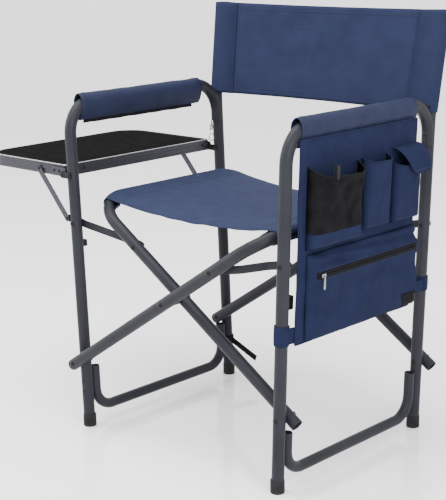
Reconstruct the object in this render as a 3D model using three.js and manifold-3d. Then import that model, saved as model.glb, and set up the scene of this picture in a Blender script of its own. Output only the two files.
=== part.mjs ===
// Folding camp chair: two bent-tube side frames joined by a pair of crossing U-tubes, a sling seat and
// back, a drop-down side table on the sitter's right arm and an organiser bag on the left arm.
// Millimetres. X to the right as seen from the front, Y to the back, Z up, floor at Z = 0.

import * as THREE from 'three';
import { mergeVertices } from 'three/addons/utils/BufferGeometryUtils.js';
import Module from 'manifold-3d';

// ---- driving dimensions -------------------------------------------------------------------------
const TUBE = 25;                 // outside diameter of legs, posts and crossing tubes
const WALL = 1.5;
const RAIL = 22;                 // outside diameter of the floor rails
const GAP = 0.3;                 // clearance kept between touching pieces
const SIDES = 12;                // facets round a tube
const BEND_STEPS = 5;

const FLOOR_HALF = 271;          // leg axis to centre plane, at the floor
const SPLAY = Math.atan(0.038);  // each side frame leans outward going up
const DEPTH = 453;               // front leg axis to rear post axis
const ARM_Z = 711.6;             // arm tube axis
const ARM_BEND = 70;
const TAIL_STEP = 4;             // arm tail sits this far in front of the post axis
const TAIL_END_Z = 622;
const POST_BEND_Z = 678;
const POST_BEND = 120;
const RECLINE = THREE.MathUtils.degToRad(8.4);
const BACK_LOW = 688;            // lower and upper edge of the back rest
const BACK_TOP = 893;
const POST_TOP = 888;

const RAIL_Z = 33.2;
const RAIL_BEND = 45;
const RAIL_END_Z = 131;
const RAIL_END_LOW_Z = 117;      // the one end that lies below a crossing tube's cut end
const FOOT_R = 14.3;
const FOOT_H = 27;

const PIVOT_Z = 149.5;           // lower pivots of the crossing tubes
const CROSS_ANGLE = THREE.MathUtils.degToRad(33.5);
const CROSS_OFFSET = 27;         // crossing tubes run this far in front of and behind the legs
const CROSS_UPPER = 304.6;       // centre pivot to seat rail
const CROSS_BEND = 75;
const FRONT_CROSS_TAIL = 13;     // tube left beyond the lower pivot
const REAR_CROSS_TAIL = 26;
const LINK_AT_CROSS = 160;       // centre pivot to link bolt
const LINK_Z = 453;              // link pivot on the leg
const LINK_WIDTH = 16;
const LINK_THICK = 2.2;
const LINK_SET = [52, 95];       // the joggle in a link, from its leg bolt

const BOLT_R = 3;
const HEAD_R = 5.5;
const HEAD_H = 2.6;
const SPACER_R = 8;

const SEAT_LENGTH = 412;         // front to back, along a rail
const SEAT_FRONT_LEFT = 48;      // front edge at the left rail; the right one sits forward by the tube offset
const SEAT_SAG = 18;
const CLOTH = 2.4;               // sleeve wall
const PANEL = 4;                 // plain panel thickness

const TABLE_INNER = -307.5;      // inner edge, beside the legs
const TABLE_OUTER = -582;
const TABLE_FRONT = -8;
const TABLE_BACK = 436;
const TABLE_TOP = 577;
const TABLE_H = 25;
const TABLE_CORNER = 60;
const EDGE_W = 3.5;
const HINGE_X = -312;
const HINGE_Z = 557;
const STRUT_FOOT = [-305, 463];
const STRUT_HEAD = [-392, 562];
const STRUT_W = 13;
const STRUT_THICK = 2.4;
const FRONT_STRUT_Y = -10.3;
const REAR_STRUT_Y = 411;
const LUG_HALF = 7;

const ARM_PAD_FRONT = 27;
const ARM_PAD_BACK = 389;
const ARM_PAD_HALF = 17.5;       // half width of the arm pad
const ARM_PAD_TOP = 727;
const ARM_PAD_BOTTOM = 668;
const CLOSURE_SHOWS = 6;         // how far the left pad's closing strip hangs below it

const BAG_TOP = 686;             // organiser bag, hung outside the right arm
const BAG_BOTTOM = 300;
const BAG_FRONT = 18;
const BAG_BACK = 380;
const BAG_FACE = 21;             // outside face of the back panel, from the leg axis plane
const BAG_THICK = 5;
const WEBBING = 3;               // thickness of a webbing loop round a tube
const LOOP_SIDES = 14;

// ---- materials ----------------------------------------------------------------------------------
const finish = (color, roughness, metalness) => (
  new THREE.MeshStandardMaterial({ color, roughness, metalness })
);
const steelTube = finish(0x54555b, 0.45, 0.6);
const boltSteel = finish(0x6a6b70, 0.35, 0.8);
const rubber = finish(0x2b2b2d, 0.85, 0);
const blackPlastic = finish(0x1d1d1f, 0.55, 0);
const navyCloth = finish(0x39425f, 0.9, 0);
const blackWebbing = finish(0x17181b, 0.95, 0);
const blackMesh = finish(0x1b1b1e, 0.8, 0);
const tableBoard = finish(0x222222, 0.6, 0);
const edgeMetal = finish(0x77787f, 0.4, 0.9);
const brightMetal = finish(0xb9babd, 0.3, 1);

// ---- solids -------------------------------------------------------------------------------------
const wasm = await Module();
wasm.setup();

function solidOf(geometry) {
  const bare = geometry.clone();
  bare.deleteAttribute('normal');
  bare.deleteAttribute('uv');
  const merged = mergeVertices(bare, 1e-4);
  const mesh = new wasm.Mesh({
    numProp: 3,
    vertProperties: new Float32Array(merged.attributes.position.array),
    triVerts: new Uint32Array(merged.index.array),
  });
  mesh.merge();
  return new wasm.Manifold(mesh);
}

function geometryOf(solid) {
  const mesh = solid.getMesh();
  const geometry = new THREE.BufferGeometry();
  geometry.setAttribute('position', new THREE.BufferAttribute(new Float32Array(mesh.vertProperties), 3));
  geometry.setIndex(new THREE.BufferAttribute(new Uint32Array(mesh.triVerts), 1));
  geometry.computeVertexNormals();
  return geometry;
}

function cut(geometry, ...tools) {
  return geometryOf(tools.reduce((body, tool) => body.subtract(solidOf(tool)), solidOf(geometry)));
}

function join(geometry, ...others) {
  return geometryOf(others.reduce((body, other) => body.add(solidOf(other)), solidOf(geometry)));
}

function keepInside(geometry, tool) {
  return geometryOf(solidOf(geometry).intersect(solidOf(tool)));
}

// A line of straight runs with round bends, stepped only at the bends and the ends.
class BentLine extends THREE.Curve {
  constructor(corners, radii) {
    super();
    const run = (i) => corners[i + 1].clone().sub(corners[i]).normalize();
    this.stations = [[corners[0], run(0)]];
    for (let i = 1; i < corners.length - 1; i += 1) {
      const into = run(i - 1);
      const out = run(i);
      const radius = radii[i - 1];
      const turn = into.angleTo(out);
      const side = out.clone().addScaledVector(into, -out.dot(into)).normalize();
      const start = corners[i].clone().addScaledVector(into, -radius * Math.tan(turn / 2));
      const centre = start.clone().addScaledVector(side, radius);
      for (let step = 0; step <= BEND_STEPS; step += 1) {
        const a = (turn * step) / BEND_STEPS;
        const point = centre.clone().addScaledVector(side, -radius * Math.cos(a));
        point.addScaledVector(into, radius * Math.sin(a));
        const tangent = into.clone().multiplyScalar(Math.cos(a)).addScaledVector(side, Math.sin(a));
        this.stations.push([point, tangent]);
      }
    }
    this.stations.push([corners[corners.length - 1], run(corners.length - 2)]);
  }

  get steps() { return this.stations.length - 1; }

  getPointAt(u) { return this.stations[Math.round(u * this.steps)][0].clone(); }

  getTangentAt(u) { return this.stations[Math.round(u * this.steps)][1].clone(); }
}

const at = (x, y, z) => new THREE.Vector3(x, y, z);

function ringShape(outer, inner, sides = SIDES) {
  const circle = (radius) => Array.from({ length: sides }, (_, i) => {
    const a = (2 * Math.PI * (i + 0.5)) / sides;
    return new THREE.Vector2(radius * Math.cos(a), radius * Math.sin(a));
  });
  const shape = new THREE.Shape(circle(outer));
  if (inner) shape.holes.push(new THREE.Path(circle(inner)));
  return shape;
}

function sweep(shape, line) {
  return new THREE.ExtrudeGeometry(shape, { steps: line.steps, extrudePath: line });
}

const tubeAlong = (line, outside, wall = WALL) => sweep(ringShape(outside / 2, outside / 2 - wall), line);
const rodAlong = (line, outside) => sweep(ringShape(outside / 2, 0), line);

function box(low, high) {
  const geometry = new THREE.BoxGeometry(high[0] - low[0], high[1] - low[1], high[2] - low[2]);
  return geometry.translate((low[0] + high[0]) / 2, (low[1] + high[1]) / 2, (low[2] + high[2]) / 2);
}

// A round pin along Y from one y to another.
function pinY(x, z, yLow, yHigh, radius, sides = 10) {
  const pin = new THREE.CylinderGeometry(radius, radius, yHigh - yLow, sides);
  return pin.translate(x, (yLow + yHigh) / 2, z);
}

// A round pin along Z from one z to another.
function pinZ(x, y, zLow, zHigh, radius, sides = 10) {
  return plateZ(ringShape(radius, 0, sides), zLow, zHigh).translate(x, y, 0);
}

// A bolt along Y: domed head in front, shank, nut behind.
function boltY(x, z, yLow, yHigh) {
  const profile = [
    [0, yLow - HEAD_H], [HEAD_R * 0.7, yLow - HEAD_H * 0.8], [HEAD_R, yLow - GAP], [BOLT_R, yLow - GAP],
    [BOLT_R, yHigh + GAP], [HEAD_R, yHigh + GAP], [HEAD_R * 0.75, yHigh + HEAD_H], [0, yHigh + HEAD_H],
  ].map(([r, y]) => new THREE.Vector2(r, y));
  return new THREE.LatheGeometry(profile, 10).translate(x, 0, z);
}

// An outline drawn in X-Z, extruded from one y to another.
function plateY(shape, yLow, yHigh) {
  const settings = { depth: yHigh - yLow, bevelEnabled: false, curveSegments: 4 };
  const geometry = new THREE.ExtrudeGeometry(shape, settings);
  return geometry.rotateX(Math.PI / 2).translate(0, yHigh, 0);
}

// An outline drawn in X-Y, extruded from one z to another.
function plateZ(shape, zLow, zHigh, curveSegments = 6) {
  const settings = { depth: zHigh - zLow, bevelEnabled: false, curveSegments };
  const geometry = new THREE.ExtrudeGeometry(shape, settings);
  return geometry.translate(0, 0, zLow);
}

const chair = new THREE.Group();

function add(name, geometry, material, parent = chair) {
  const mesh = new THREE.Mesh(geometry, material);
  mesh.name = name;
  parent.add(mesh);
  return mesh;
}

// ---- side frames --------------------------------------------------------------------------------
// Each side frame is built in its own upright plane (local X = 0) and leaned outward about its foot line.
function sideGroup(side) {
  const group = new THREE.Group();
  group.position.x = side * FLOOR_HALF;
  group.rotation.y = side * SPLAY;
  group.updateMatrix();
  chair.add(group);
  return group;
}

const legX = (z) => FLOOR_HALF + Math.tan(SPLAY) * z;
const frontY = 0;
const footTop = 8;               // tubes start this far above the floor, inside the rubber feet

const sideTubeLine = new BentLine([
  at(0, frontY, footTop), at(0, frontY, ARM_Z),
  at(0, DEPTH - TAIL_STEP, ARM_Z), at(0, DEPTH - TAIL_STEP, TAIL_END_Z),
], [ARM_BEND, ARM_BEND]);

const reclined = (z) => DEPTH + (z - POST_BEND_Z) * Math.tan(RECLINE);
const postLine = new BentLine([
  at(0, DEPTH, footTop), at(0, DEPTH, POST_BEND_Z), at(0, reclined(POST_TOP), POST_TOP),
], [POST_BEND]);

function floorRailLine(frontEndZ, rearEndZ) {
  const inset = TUBE / 2 + RAIL / 2 + GAP;
  return new BentLine([
    at(0, inset, frontEndZ), at(0, inset, RAIL_Z),
    at(0, DEPTH - inset, RAIL_Z), at(0, DEPTH - inset, rearEndZ),
  ], [RAIL_BEND, RAIL_BEND]);
}

// Hole through both uprights for a pivot bolt.
const crossHole = (z) => pinY(0, z, -2 * TUBE, DEPTH + 2 * TUBE, BOLT_R + GAP);

// Domed rivet head on the front or back of an upright tube, its shank sunk into the wall.
function rivetHead(y, z, outward) {
  const profile = [[0, -1.2], [3.4, -1.2], [3.4, 0.4], [2.4, 1.8], [0, 2.4]];
  const head = new THREE.LatheGeometry(profile.map(([r, h]) => new THREE.Vector2(r, h)), 8);
  return head.rotateX(outward < 0 ? Math.PI : 0).translate(0, y, z);
}

const localPivotZ = PIVOT_Z / Math.cos(SPLAY);
const localLinkZ = LINK_Z / Math.cos(SPLAY);
const RAIL_RIVETS = [102, 80];
const TAIL_RIVETS = [646, 632];

function sideFrame(side, name) {
  const group = sideGroup(side);
  const holes = [crossHole(localPivotZ)];
  const linkBolt = (y) => pinY(0, localLinkZ, y - TUBE / 2 - 1.6, y + TUBE / 2 - 1, HEAD_R - 1.5, 8);

  let tube = cut(tubeAlong(sideTubeLine, TUBE), rodAlong(postLine, TUBE + 2 * GAP), ...holes);
  tube = join(
    tube,
    linkBolt(frontY),
    ...RAIL_RIVETS.map((z) => rivetHead(frontY - TUBE / 2, z, -1)),
    ...TAIL_RIVETS.map((z) => rivetHead(DEPTH - TAIL_STEP - TUBE / 2, z, -1)),
  );
  add(`${name}_side_tube`, tube, steelTube, group);

  let post = cut(tubeAlong(postLine, TUBE), ...holes);
  post = join(post, linkBolt(DEPTH), ...RAIL_RIVETS.map((z) => rivetHead(DEPTH + TUBE / 2, z, 1)));
  add(`${name}_rear_post`, post, steelTube, group);

  const frontEnd = side > 0 ? RAIL_END_LOW_Z : RAIL_END_Z;
  add(`${name}_floor_rail`, tubeAlong(floorRailLine(frontEnd, RAIL_END_Z), RAIL), steelTube, group);

  for (const [where, y] of [['front', frontY], ['rear', DEPTH]]) {
    const boltFront = side < 0 ? y - CROSS_OFFSET - TUBE / 2 : y - TUBE / 2;
    const boltBack = side < 0 ? y + TUBE / 2 : y + CROSS_OFFSET + TUBE / 2;
    add(`${name}_${where}_pivot_bolt`, boltY(0, localPivotZ, boltFront, boltBack), boltSteel, group);
    add(`${name}_${where}_foot`, footGeometry(side, y), rubber);
  }
  return group;
}

// Rubber cup over the end of a leg, cut level with the floor.
function footGeometry(side, y) {
  const inner = TUBE / 2 + GAP;
  const profile = [
    [0, -4], [FOOT_R - 1.5, -4], [FOOT_R, 3], [FOOT_R, FOOT_H - 2], [FOOT_R - 0.8, FOOT_H],
    [inner, FOOT_H], [inner, footTop - GAP], [0, footTop - GAP],
  ].map(([r, z]) => new THREE.Vector2(r, z));
  const cup = new THREE.LatheGeometry(profile, SIDES).rotateX(Math.PI / 2).rotateZ(Math.PI / SIDES);
  cup.rotateY(side * SPLAY).translate(side * FLOOR_HALF, y, 0);
  return cut(cup, box([-1000, -1000, -50], [1000, 1000, 0]));
}

const leftGroup = sideFrame(-1, 'left');
const rightGroup = sideFrame(1, 'right');

// ---- crossing U-tubes ---------------------------------------------------------------------------
// Both lie in sloping planes. The front one starts at the left frame and carries the right seat rail;
// the rear one starts at the right frame and carries the left seat rail.
const pivotX = legX(PIVOT_Z);
const crossLower = pivotX / Math.cos(CROSS_ANGLE);
const centreZ = PIVOT_Z + pivotX * Math.tan(CROSS_ANGLE);

// Point on a crossing tube, measured from the centre pivot up towards its seat rail.
function onCross(side, along, y) {
  return at(side * along * Math.cos(CROSS_ANGLE), y, centreZ + along * Math.sin(CROSS_ANGLE));
}

function crossLine(side, yFront, tail) {
  const lower = -crossLower - tail;
  return new BentLine([
    onCross(side, lower, yFront), onCross(side, CROSS_UPPER, yFront),
    onCross(side, CROSS_UPPER, yFront + DEPTH), onCross(side, lower, yFront + DEPTH),
  ], [CROSS_BEND, CROSS_BEND]);
}

function crossTube(name, side, yFront, tail) {
  const line = crossLine(side, yFront, tail);
  const pivot = onCross(side, -crossLower, 0);
  const link = onCross(side, LINK_AT_CROSS, 0);
  const along = [-3 * TUBE, DEPTH + 3 * TUBE];
  const tube = cut(
    tubeAlong(line, TUBE),
    pinY(pivot.x, pivot.z, ...along, BOLT_R + GAP),
    pinY(0, centreZ, ...along, BOLT_R + GAP),
  );
  const linkBolt = (y) => pinY(link.x, link.z, y - TUBE / 2 - 1.6, y + TUBE / 2 - 1, HEAD_R - 1.5, 8);
  add(name, join(tube, linkBolt(yFront), linkBolt(yFront + DEPTH)), steelTube);
  return line;
}

const frontCrossLine = crossTube('front_cross_tube', 1, -CROSS_OFFSET, FRONT_CROSS_TAIL);
const rearCrossLine = crossTube('rear_cross_tube', -1, CROSS_OFFSET, REAR_CROSS_TAIL);

for (const [where, y] of [['front', 0], ['rear', DEPTH]]) {
  const reach = CROSS_OFFSET + TUBE / 2;
  add(`centre_${where}_bolt`, boltY(0, centreZ, y - reach, y + reach), boltSteel);
  const half = CROSS_OFFSET - TUBE / 2 - GAP;
  const spacer = pinY(0, centreZ, y - half, y + half, SPACER_R, SIDES);
  add(`centre_${where}_spacer`, cut(spacer, pinY(0, centreZ, y - 50, y + 50, BOLT_R + GAP)), blackPlastic);
}

// Flat links from the back of each leg to the back of the tube that crosses to that side, set over
// by the difference in depth between leg and tube.
function linkGeometry(side, yLeg) {
  const yFrom = yLeg + TUBE / 2 + GAP;
  const yTo = side < 0 ? yLeg + CROSS_OFFSET + TUBE / 2 + GAP : yLeg - CROSS_OFFSET + TUBE / 2 + GAP;
  const leg = at(side * legX(LINK_Z), 0, LINK_Z);
  const far = onCross(side, LINK_AT_CROSS, 0);
  const length = Math.hypot(far.x - leg.x, far.z - leg.z);
  const half = LINK_WIDTH / 2;
  const edge = [
    [-half, yFrom], [LINK_SET[0], yFrom], [LINK_SET[1], yTo], [length + half, yTo],
    [length + half, yTo + LINK_THICK], [LINK_SET[1], yTo + LINK_THICK], [LINK_SET[0], yFrom + LINK_THICK],
    [-half, yFrom + LINK_THICK],
  ].map(([x, y]) => new THREE.Vector2(x, y));
  const strip = plateZ(new THREE.Shape(edge), -half, half);
  const outline = new THREE.Shape();
  outline.moveTo(0, -half);
  outline.lineTo(length, -half);
  outline.absarc(length, 0, half, -Math.PI / 2, Math.PI / 2, false);
  outline.lineTo(0, half);
  outline.absarc(0, 0, half, Math.PI / 2, -Math.PI / 2, false);
  const bar = keepInside(strip, plateY(outline, yLeg - 60, yLeg + 60));
  bar.rotateY(-Math.atan2(far.z - leg.z, far.x - leg.x));
  return bar.translate(leg.x, 0, leg.z);
}

for (const [side, name] of [[-1, 'left'], [1, 'right']]) {
  for (const [where, y] of [['front', 0], ['rear', DEPTH]]) {
    add(`${name}_${where}_link`, linkGeometry(side, y), steelTube);
  }
}

// ---- seat ---------------------------------------------------------------------------------------
function seatSleeve(line, yLow) {
  const ring = sweep(ringShape(TUBE / 2 + GAP + CLOTH, TUBE / 2 + GAP), line);
  return keepInside(ring, box([-400, yLow, 440], [400, yLow + SEAT_LENGTH, 560]));
}

const SEAT_FRONT_RIGHT = SEAT_FRONT_LEFT - 2 * CROSS_OFFSET;
add('left_seat_sleeve', seatSleeve(rearCrossLine, SEAT_FRONT_LEFT), navyCloth);
add('right_seat_sleeve', seatSleeve(frontCrossLine, SEAT_FRONT_RIGHT), navyCloth);

function shearedSeat() {
  const half = CROSS_UPPER * Math.cos(CROSS_ANGLE) - TUBE / 2 - CLOTH - 1.2;
  const edgeZ = centreZ + CROSS_UPPER * Math.sin(CROSS_ANGLE) + TUBE / 2 - 2;
  const sag = (x) => edgeZ - SEAT_SAG * (1 - (x / half) ** 2);
  const steps = 10;
  const across = Array.from({ length: steps + 1 }, (_, i) => -half + (2 * half * i) / steps);
  const outline = [
    ...across.map((x) => new THREE.Vector2(x, sag(x) - PANEL)),
    ...across.toReversed().map((x) => new THREE.Vector2(x, sag(x))),
  ];
  const sheet = plateY(new THREE.Shape(outline), 0, SEAT_LENGTH);
  const middle = (SEAT_FRONT_LEFT + SEAT_FRONT_RIGHT) / 2;
  const slope = (SEAT_FRONT_RIGHT - SEAT_FRONT_LEFT) / (2 * half);
  const shear = new THREE.Matrix4().set(1, 0, 0, 0, slope, 1, 0, middle, 0, 0, 1, 0, 0, 0, 0, 1);
  return sheet.applyMatrix4(shear);
}
const sleeveSpace = TUBE + 2 * (2 * GAP + CLOTH);
const sleeveRods = [frontCrossLine, rearCrossLine].map((line) => rodAlong(line, sleeveSpace));
add('seat_panel', cut(shearedSeat(), ...sleeveRods), navyCloth);

// ---- back rest ----------------------------------------------------------------------------------
// Pockets sewn down each side slide over the posts; the panel between them is one sheet.
function backSleeve() {
  const ring = sweep(ringShape(TUBE / 2 + GAP + CLOTH, TUBE / 2 + GAP), postLine);
  const sleeve = keepInside(ring, box([-40, DEPTH - 40, BACK_LOW], [40, DEPTH + 80, BACK_TOP]));
  return cut(sleeve, rodAlong(sideTubeLine, TUBE + 2 * GAP));
}
add('left_back_sleeve', backSleeve(), navyCloth, leftGroup);
add('right_back_sleeve', backSleeve(), navyCloth, rightGroup);

function backPanelGeometry() {
  const clear = TUBE / 2 + CLOTH + 1.4;
  const low = legX(BACK_LOW) - clear;
  const high = legX(BACK_TOP) - clear;
  const outline = [[-low, 0], [low, 0], [high, BACK_TOP - BACK_LOW], [-high, BACK_TOP - BACK_LOW]];
  const corners = outline.map(([x, z]) => new THREE.Vector2(x, z));
  const sheet = plateY(new THREE.Shape(corners), -PANEL / 2, PANEL / 2);
  const lean = new THREE.Matrix4().set(
    1, 0, 0, 0,
    0, 1, Math.tan(RECLINE), reclined(BACK_LOW),
    0, 0, 1, BACK_LOW,
    0, 0, 0, 1,
  );
  return sheet.applyMatrix4(lean);
}
add('back_panel', backPanelGeometry(), navyCloth);

// ---- arm pads -----------------------------------------------------------------------------------
// A padded sleeve closed under the arm with a strip of hook and loop.
function ovalShape(halfWidth, low, high, sides = 14) {
  const middle = (low + high) / 2;
  return Array.from({ length: sides }, (_, i) => {
    const a = (2 * Math.PI * i) / sides;
    return new THREE.Vector2(halfWidth * Math.cos(a), middle + ((high - low) / 2) * Math.sin(a));
  });
}

function armPad() {
  const shape = new THREE.Shape(ovalShape(ARM_PAD_HALF, ARM_PAD_BOTTOM, ARM_PAD_TOP));
  const pad = plateY(shape, ARM_PAD_FRONT, ARM_PAD_BACK);
  return cut(pad, rodAlong(sideTubeLine, TUBE + 2 * GAP));
}
add('left_arm_pad', armPad(), navyCloth, leftGroup);
add('right_arm_pad', armPad(), navyCloth, rightGroup);
add('left_arm_closure', box(
  [-3, ARM_PAD_FRONT + 12, ARM_PAD_BOTTOM - CLOSURE_SHOWS],
  [3, ARM_PAD_BACK - 22, ARM_PAD_BOTTOM - GAP],
), blackWebbing, leftGroup);

// ---- organiser bag ------------------------------------------------------------------------------
// Drawn in the right side frame's own plane: local X is outward.
const bagBack = [[BAG_FACE - BAG_THICK, BAG_FRONT, BAG_BOTTOM], [BAG_FACE, BAG_BACK, BAG_TOP]];
add('bag_panel', box(...bagBack), navyCloth, rightGroup);

// A pocket bellied outward: depth at its rim and at its foot.
function pocket(yLow, yHigh, zLow, zHigh, rimDepth, footDepth, wall = 2) {
  const face = BAG_FACE + GAP;
  const outline = (inset) => {
    const shape = [
      [face + inset, zLow + inset], [face + footDepth - inset, zLow + 8 + inset * 0.4],
      [face + rimDepth - inset, zHigh + (inset ? 5 : 0)], [face + inset, zHigh + (inset ? 5 : 0)],
    ];
    return new THREE.Shape(shape.map(([x, z]) => new THREE.Vector2(x, z)));
  };
  return cut(plateY(outline(0), yLow, yHigh), plateY(outline(wall), yLow + wall, yHigh - wall));
}
add('mesh_pocket', pocket(24, 194, 482, 634, 34, 20), blackMesh, rightGroup);
add('middle_pocket', pocket(198, 288, 490, 628, 24, 16), navyCloth, rightGroup);
add('flap_pocket', pocket(292, 376, 488, 600, 26, 16), navyCloth, rightGroup);

const FLAP_HINGE = [BAG_FACE + 2.5, 640];
const flapOutline = [[0.5, 2], [30, -3], [33, -40], [30.5, -40], [27.5, -6], [0.5, -1]];
const flap = new THREE.Shape(flapOutline.map(([x, z]) => (
  new THREE.Vector2(x + FLAP_HINGE[0], z + FLAP_HINGE[1])
)));
add('pocket_flap', plateY(flap, 290, 379), navyCloth, rightGroup);

const ZIP_POCKET = { front: 40, back: 384, low: 302, high: 470, depth: 17 };
const zipPocket = [
  [0, ZIP_POCKET.low], [ZIP_POCKET.depth, ZIP_POCKET.low + 6], [ZIP_POCKET.depth, ZIP_POCKET.high - 12],
  [0, ZIP_POCKET.high],
].map(([x, z]) => new THREE.Vector2(x + BAG_FACE + GAP, z));
const zipPouch = plateY(new THREE.Shape(zipPocket), ZIP_POCKET.front, ZIP_POCKET.back);
add('zip_pocket', zipPouch, navyCloth, rightGroup);

const zipFace = BAG_FACE + ZIP_POCKET.depth + 2 * GAP;
const ZIP_Z = 430;
const SLIDER_Y = 68;
add('zip_tape', box(
  [zipFace, ZIP_POCKET.front + 12, ZIP_Z - 7],
  [zipFace + 1.6, ZIP_POCKET.back - 4, ZIP_Z + 7],
), blackWebbing, rightGroup);
const sliderBody = box([zipFace + 1.9, SLIDER_Y - 6, ZIP_Z - 4], [zipFace + 5, SLIDER_Y + 6, ZIP_Z + 4]);
add('zip_slider', sliderBody, brightMetal, rightGroup);
add('zip_pull', box([zipFace + 5.3, SLIDER_Y - 3, ZIP_Z - 27], [zipFace + 7, SLIDER_Y + 3, ZIP_Z - 1]),
  brightMetal, rightGroup);

// Webbing loops that tie the bag's lower corners to leg and post.
function bagStrap(y, tabLow, tabHigh, zLow, zHigh) {
  const bore = TUBE / 2 + 2 * GAP;
  const loop = plateZ(ringShape(TUBE / 2 + WEBBING, bore, LOOP_SIDES), zLow, zHigh);
  const tab = box([10, tabLow, zLow + WEBBING], [BAG_FACE - BAG_THICK - GAP, tabHigh, zHigh - WEBBING]);
  const whole = cut(join(loop, tab), pinZ(0, 0, zLow - 5, zHigh + 5, bore, LOOP_SIDES));
  return whole.translate(0, y, 0);
}

add('front_bag_strap', bagStrap(frontY, 2, 14, 300, 338), navyCloth, rightGroup);
add('rear_bag_strap', bagStrap(DEPTH, -14, -4, 312, 342), navyCloth, rightGroup);

// Clip that hangs over the rim of the mesh pocket.
const CLIP = { y: 74, z: 632, out: BAG_FACE + 38, thick: 6, half: 8, below: 18, above: 14 };
add('lanyard_clip', box(
  [CLIP.out, CLIP.y - CLIP.half, CLIP.z - CLIP.below],
  [CLIP.out + CLIP.thick, CLIP.y + CLIP.half, CLIP.z + CLIP.above],
), blackPlastic, rightGroup);

// ---- small pieces on the legs -------------------------------------------------------------------
function legClip(z, height, reach) {
  const block = box([-6, TUBE / 2 - 6, z - height / 2], [6, TUBE / 2 + reach, z + height / 2]);
  return cut(block, rodAlong(sideTubeLine, TUBE + 2 * GAP));
}
add('left_leg_knob', legClip(408, 14, 9), blackPlastic, leftGroup);
add('right_leg_knob', legClip(380, 26, 12), blackPlastic, rightGroup);

// ---- side table ---------------------------------------------------------------------------------
function tableOutline(inset) {
  const outer = TABLE_CORNER - inset;
  const inner = Math.max(8 - inset, 1);
  const [left, right] = [TABLE_OUTER + inset, TABLE_INNER - inset];
  const [front, back] = [TABLE_FRONT + inset, TABLE_BACK - inset];
  const shape = new THREE.Shape();
  shape.moveTo(left + outer, front);
  shape.lineTo(right - inner, front);
  shape.absarc(right - inner, front + inner, inner, -Math.PI / 2, 0, false);
  shape.lineTo(right, back - inner);
  shape.absarc(right - inner, back - inner, inner, 0, Math.PI / 2, false);
  shape.lineTo(left + outer, back);
  shape.absarc(left + outer, back - outer, outer, Math.PI / 2, Math.PI, false);
  shape.lineTo(left, front + outer);
  shape.absarc(left + outer, front + outer, outer, Math.PI, 1.5 * Math.PI, false);
  return shape;
}
const tableLow = TABLE_TOP - TABLE_H;
add('table_edge', cut(
  plateZ(tableOutline(0), tableLow, TABLE_TOP),
  plateZ(tableOutline(EDGE_W), tableLow - 5, TABLE_TOP + 5),
), edgeMetal);
add('table_board', plateZ(tableOutline(EDGE_W + GAP), TABLE_TOP - 6, TABLE_TOP - 2), tableBoard);

// Hinge plates on the ends of the table turn on studs held in half-round brackets, which are fixed to
// the front of the leg and of the post.
const HINGE_PLATE = 2.4;
const BRACKET = { radius: 7, end: -285, thick: 3.7 };

function hingePlate(yLow) {
  const yHigh = yLow + HINGE_PLATE;
  const plate = box([HINGE_X - 38, yLow, tableLow], [HINGE_X + 7, yHigh, TABLE_TOP - 6]);
  return cut(plate, pinY(HINGE_X, HINGE_Z, yLow - 5, yHigh + 5, BOLT_R + GAP));
}

function onLeftFrame(geometry) {
  return geometry.clone().applyMatrix4(leftGroup.matrix);
}

function hingeBracket(yLow, yHigh, studLow, studHigh, rod) {
  const outline = new THREE.Shape();
  outline.absarc(HINGE_X, HINGE_Z, BRACKET.radius, Math.PI / 2, 1.5 * Math.PI, false);
  outline.lineTo(BRACKET.end, HINGE_Z - BRACKET.radius);
  outline.lineTo(BRACKET.end, HINGE_Z + BRACKET.radius);
  const stud = pinY(HINGE_X, HINGE_Z, studLow, studHigh, BOLT_R);
  return cut(join(plateY(outline, yLow, yHigh), stud), rod);
}

const legRod = onLeftFrame(rodAlong(sideTubeLine, TUBE + 2 * GAP));
const postRod = onLeftFrame(rodAlong(postLine, TUBE + 2 * GAP));
const frontPlateY = TABLE_FRONT - GAP - HINGE_PLATE;
const frontBracketY = frontPlateY - 2 * GAP - BRACKET.thick;
const rearPlateY = TABLE_BACK + GAP;
const rearBracketY = rearPlateY + HINGE_PLATE + GAP;

add('front_hinge_plate', hingePlate(frontPlateY), edgeMetal);
add('rear_hinge_plate', hingePlate(rearPlateY), edgeMetal);
add('front_table_bracket', hingeBracket(
  frontBracketY, frontBracketY + BRACKET.thick, frontBracketY + 1, TABLE_FRONT - GAP, legRod,
), blackPlastic);
add('rear_table_bracket', hingeBracket(
  rearBracketY, rearBracketY + BRACKET.thick, rearPlateY, rearBracketY + BRACKET.thick - 1, postRod,
), blackPlastic);

// Struts: pinned to a lug on the leg, their upper pins run in the groove of the table edge.
function strutGeometry(yMiddle) {
  const [fx, fz] = STRUT_FOOT;
  const [hx, hz] = STRUT_HEAD;
  const length = Math.hypot(hx - fx, hz - fz);
  const half = STRUT_W / 2;
  const outline = new THREE.Shape();
  outline.absarc(0, 0, half, Math.PI / 2, 1.5 * Math.PI, false);
  outline.absarc(length, 0, half, -Math.PI / 2, Math.PI / 2, false);
  const bar = plateY(outline, yMiddle - STRUT_THICK / 2, yMiddle + STRUT_THICK / 2);
  bar.rotateY(-Math.atan2(hz - fz, hx - fx)).translate(fx, 0, fz);
  return cut(bar, pinY(fx, fz, yMiddle - 5, yMiddle + 5, BOLT_R + GAP));
}

// The lug stays inside the line that the table's side walls take when the table hangs down.
function strutLug(yLow, yHigh, studLow, rod) {
  const [fx, fz] = STRUT_FOOT;
  const lug = box([fx - 1, yLow, fz - LUG_HALF], [fx + 9, yHigh, fz + LUG_HALF]);
  return cut(join(lug, pinY(fx, fz, studLow, yLow + 0.5, BOLT_R)), rod);
}

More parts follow.
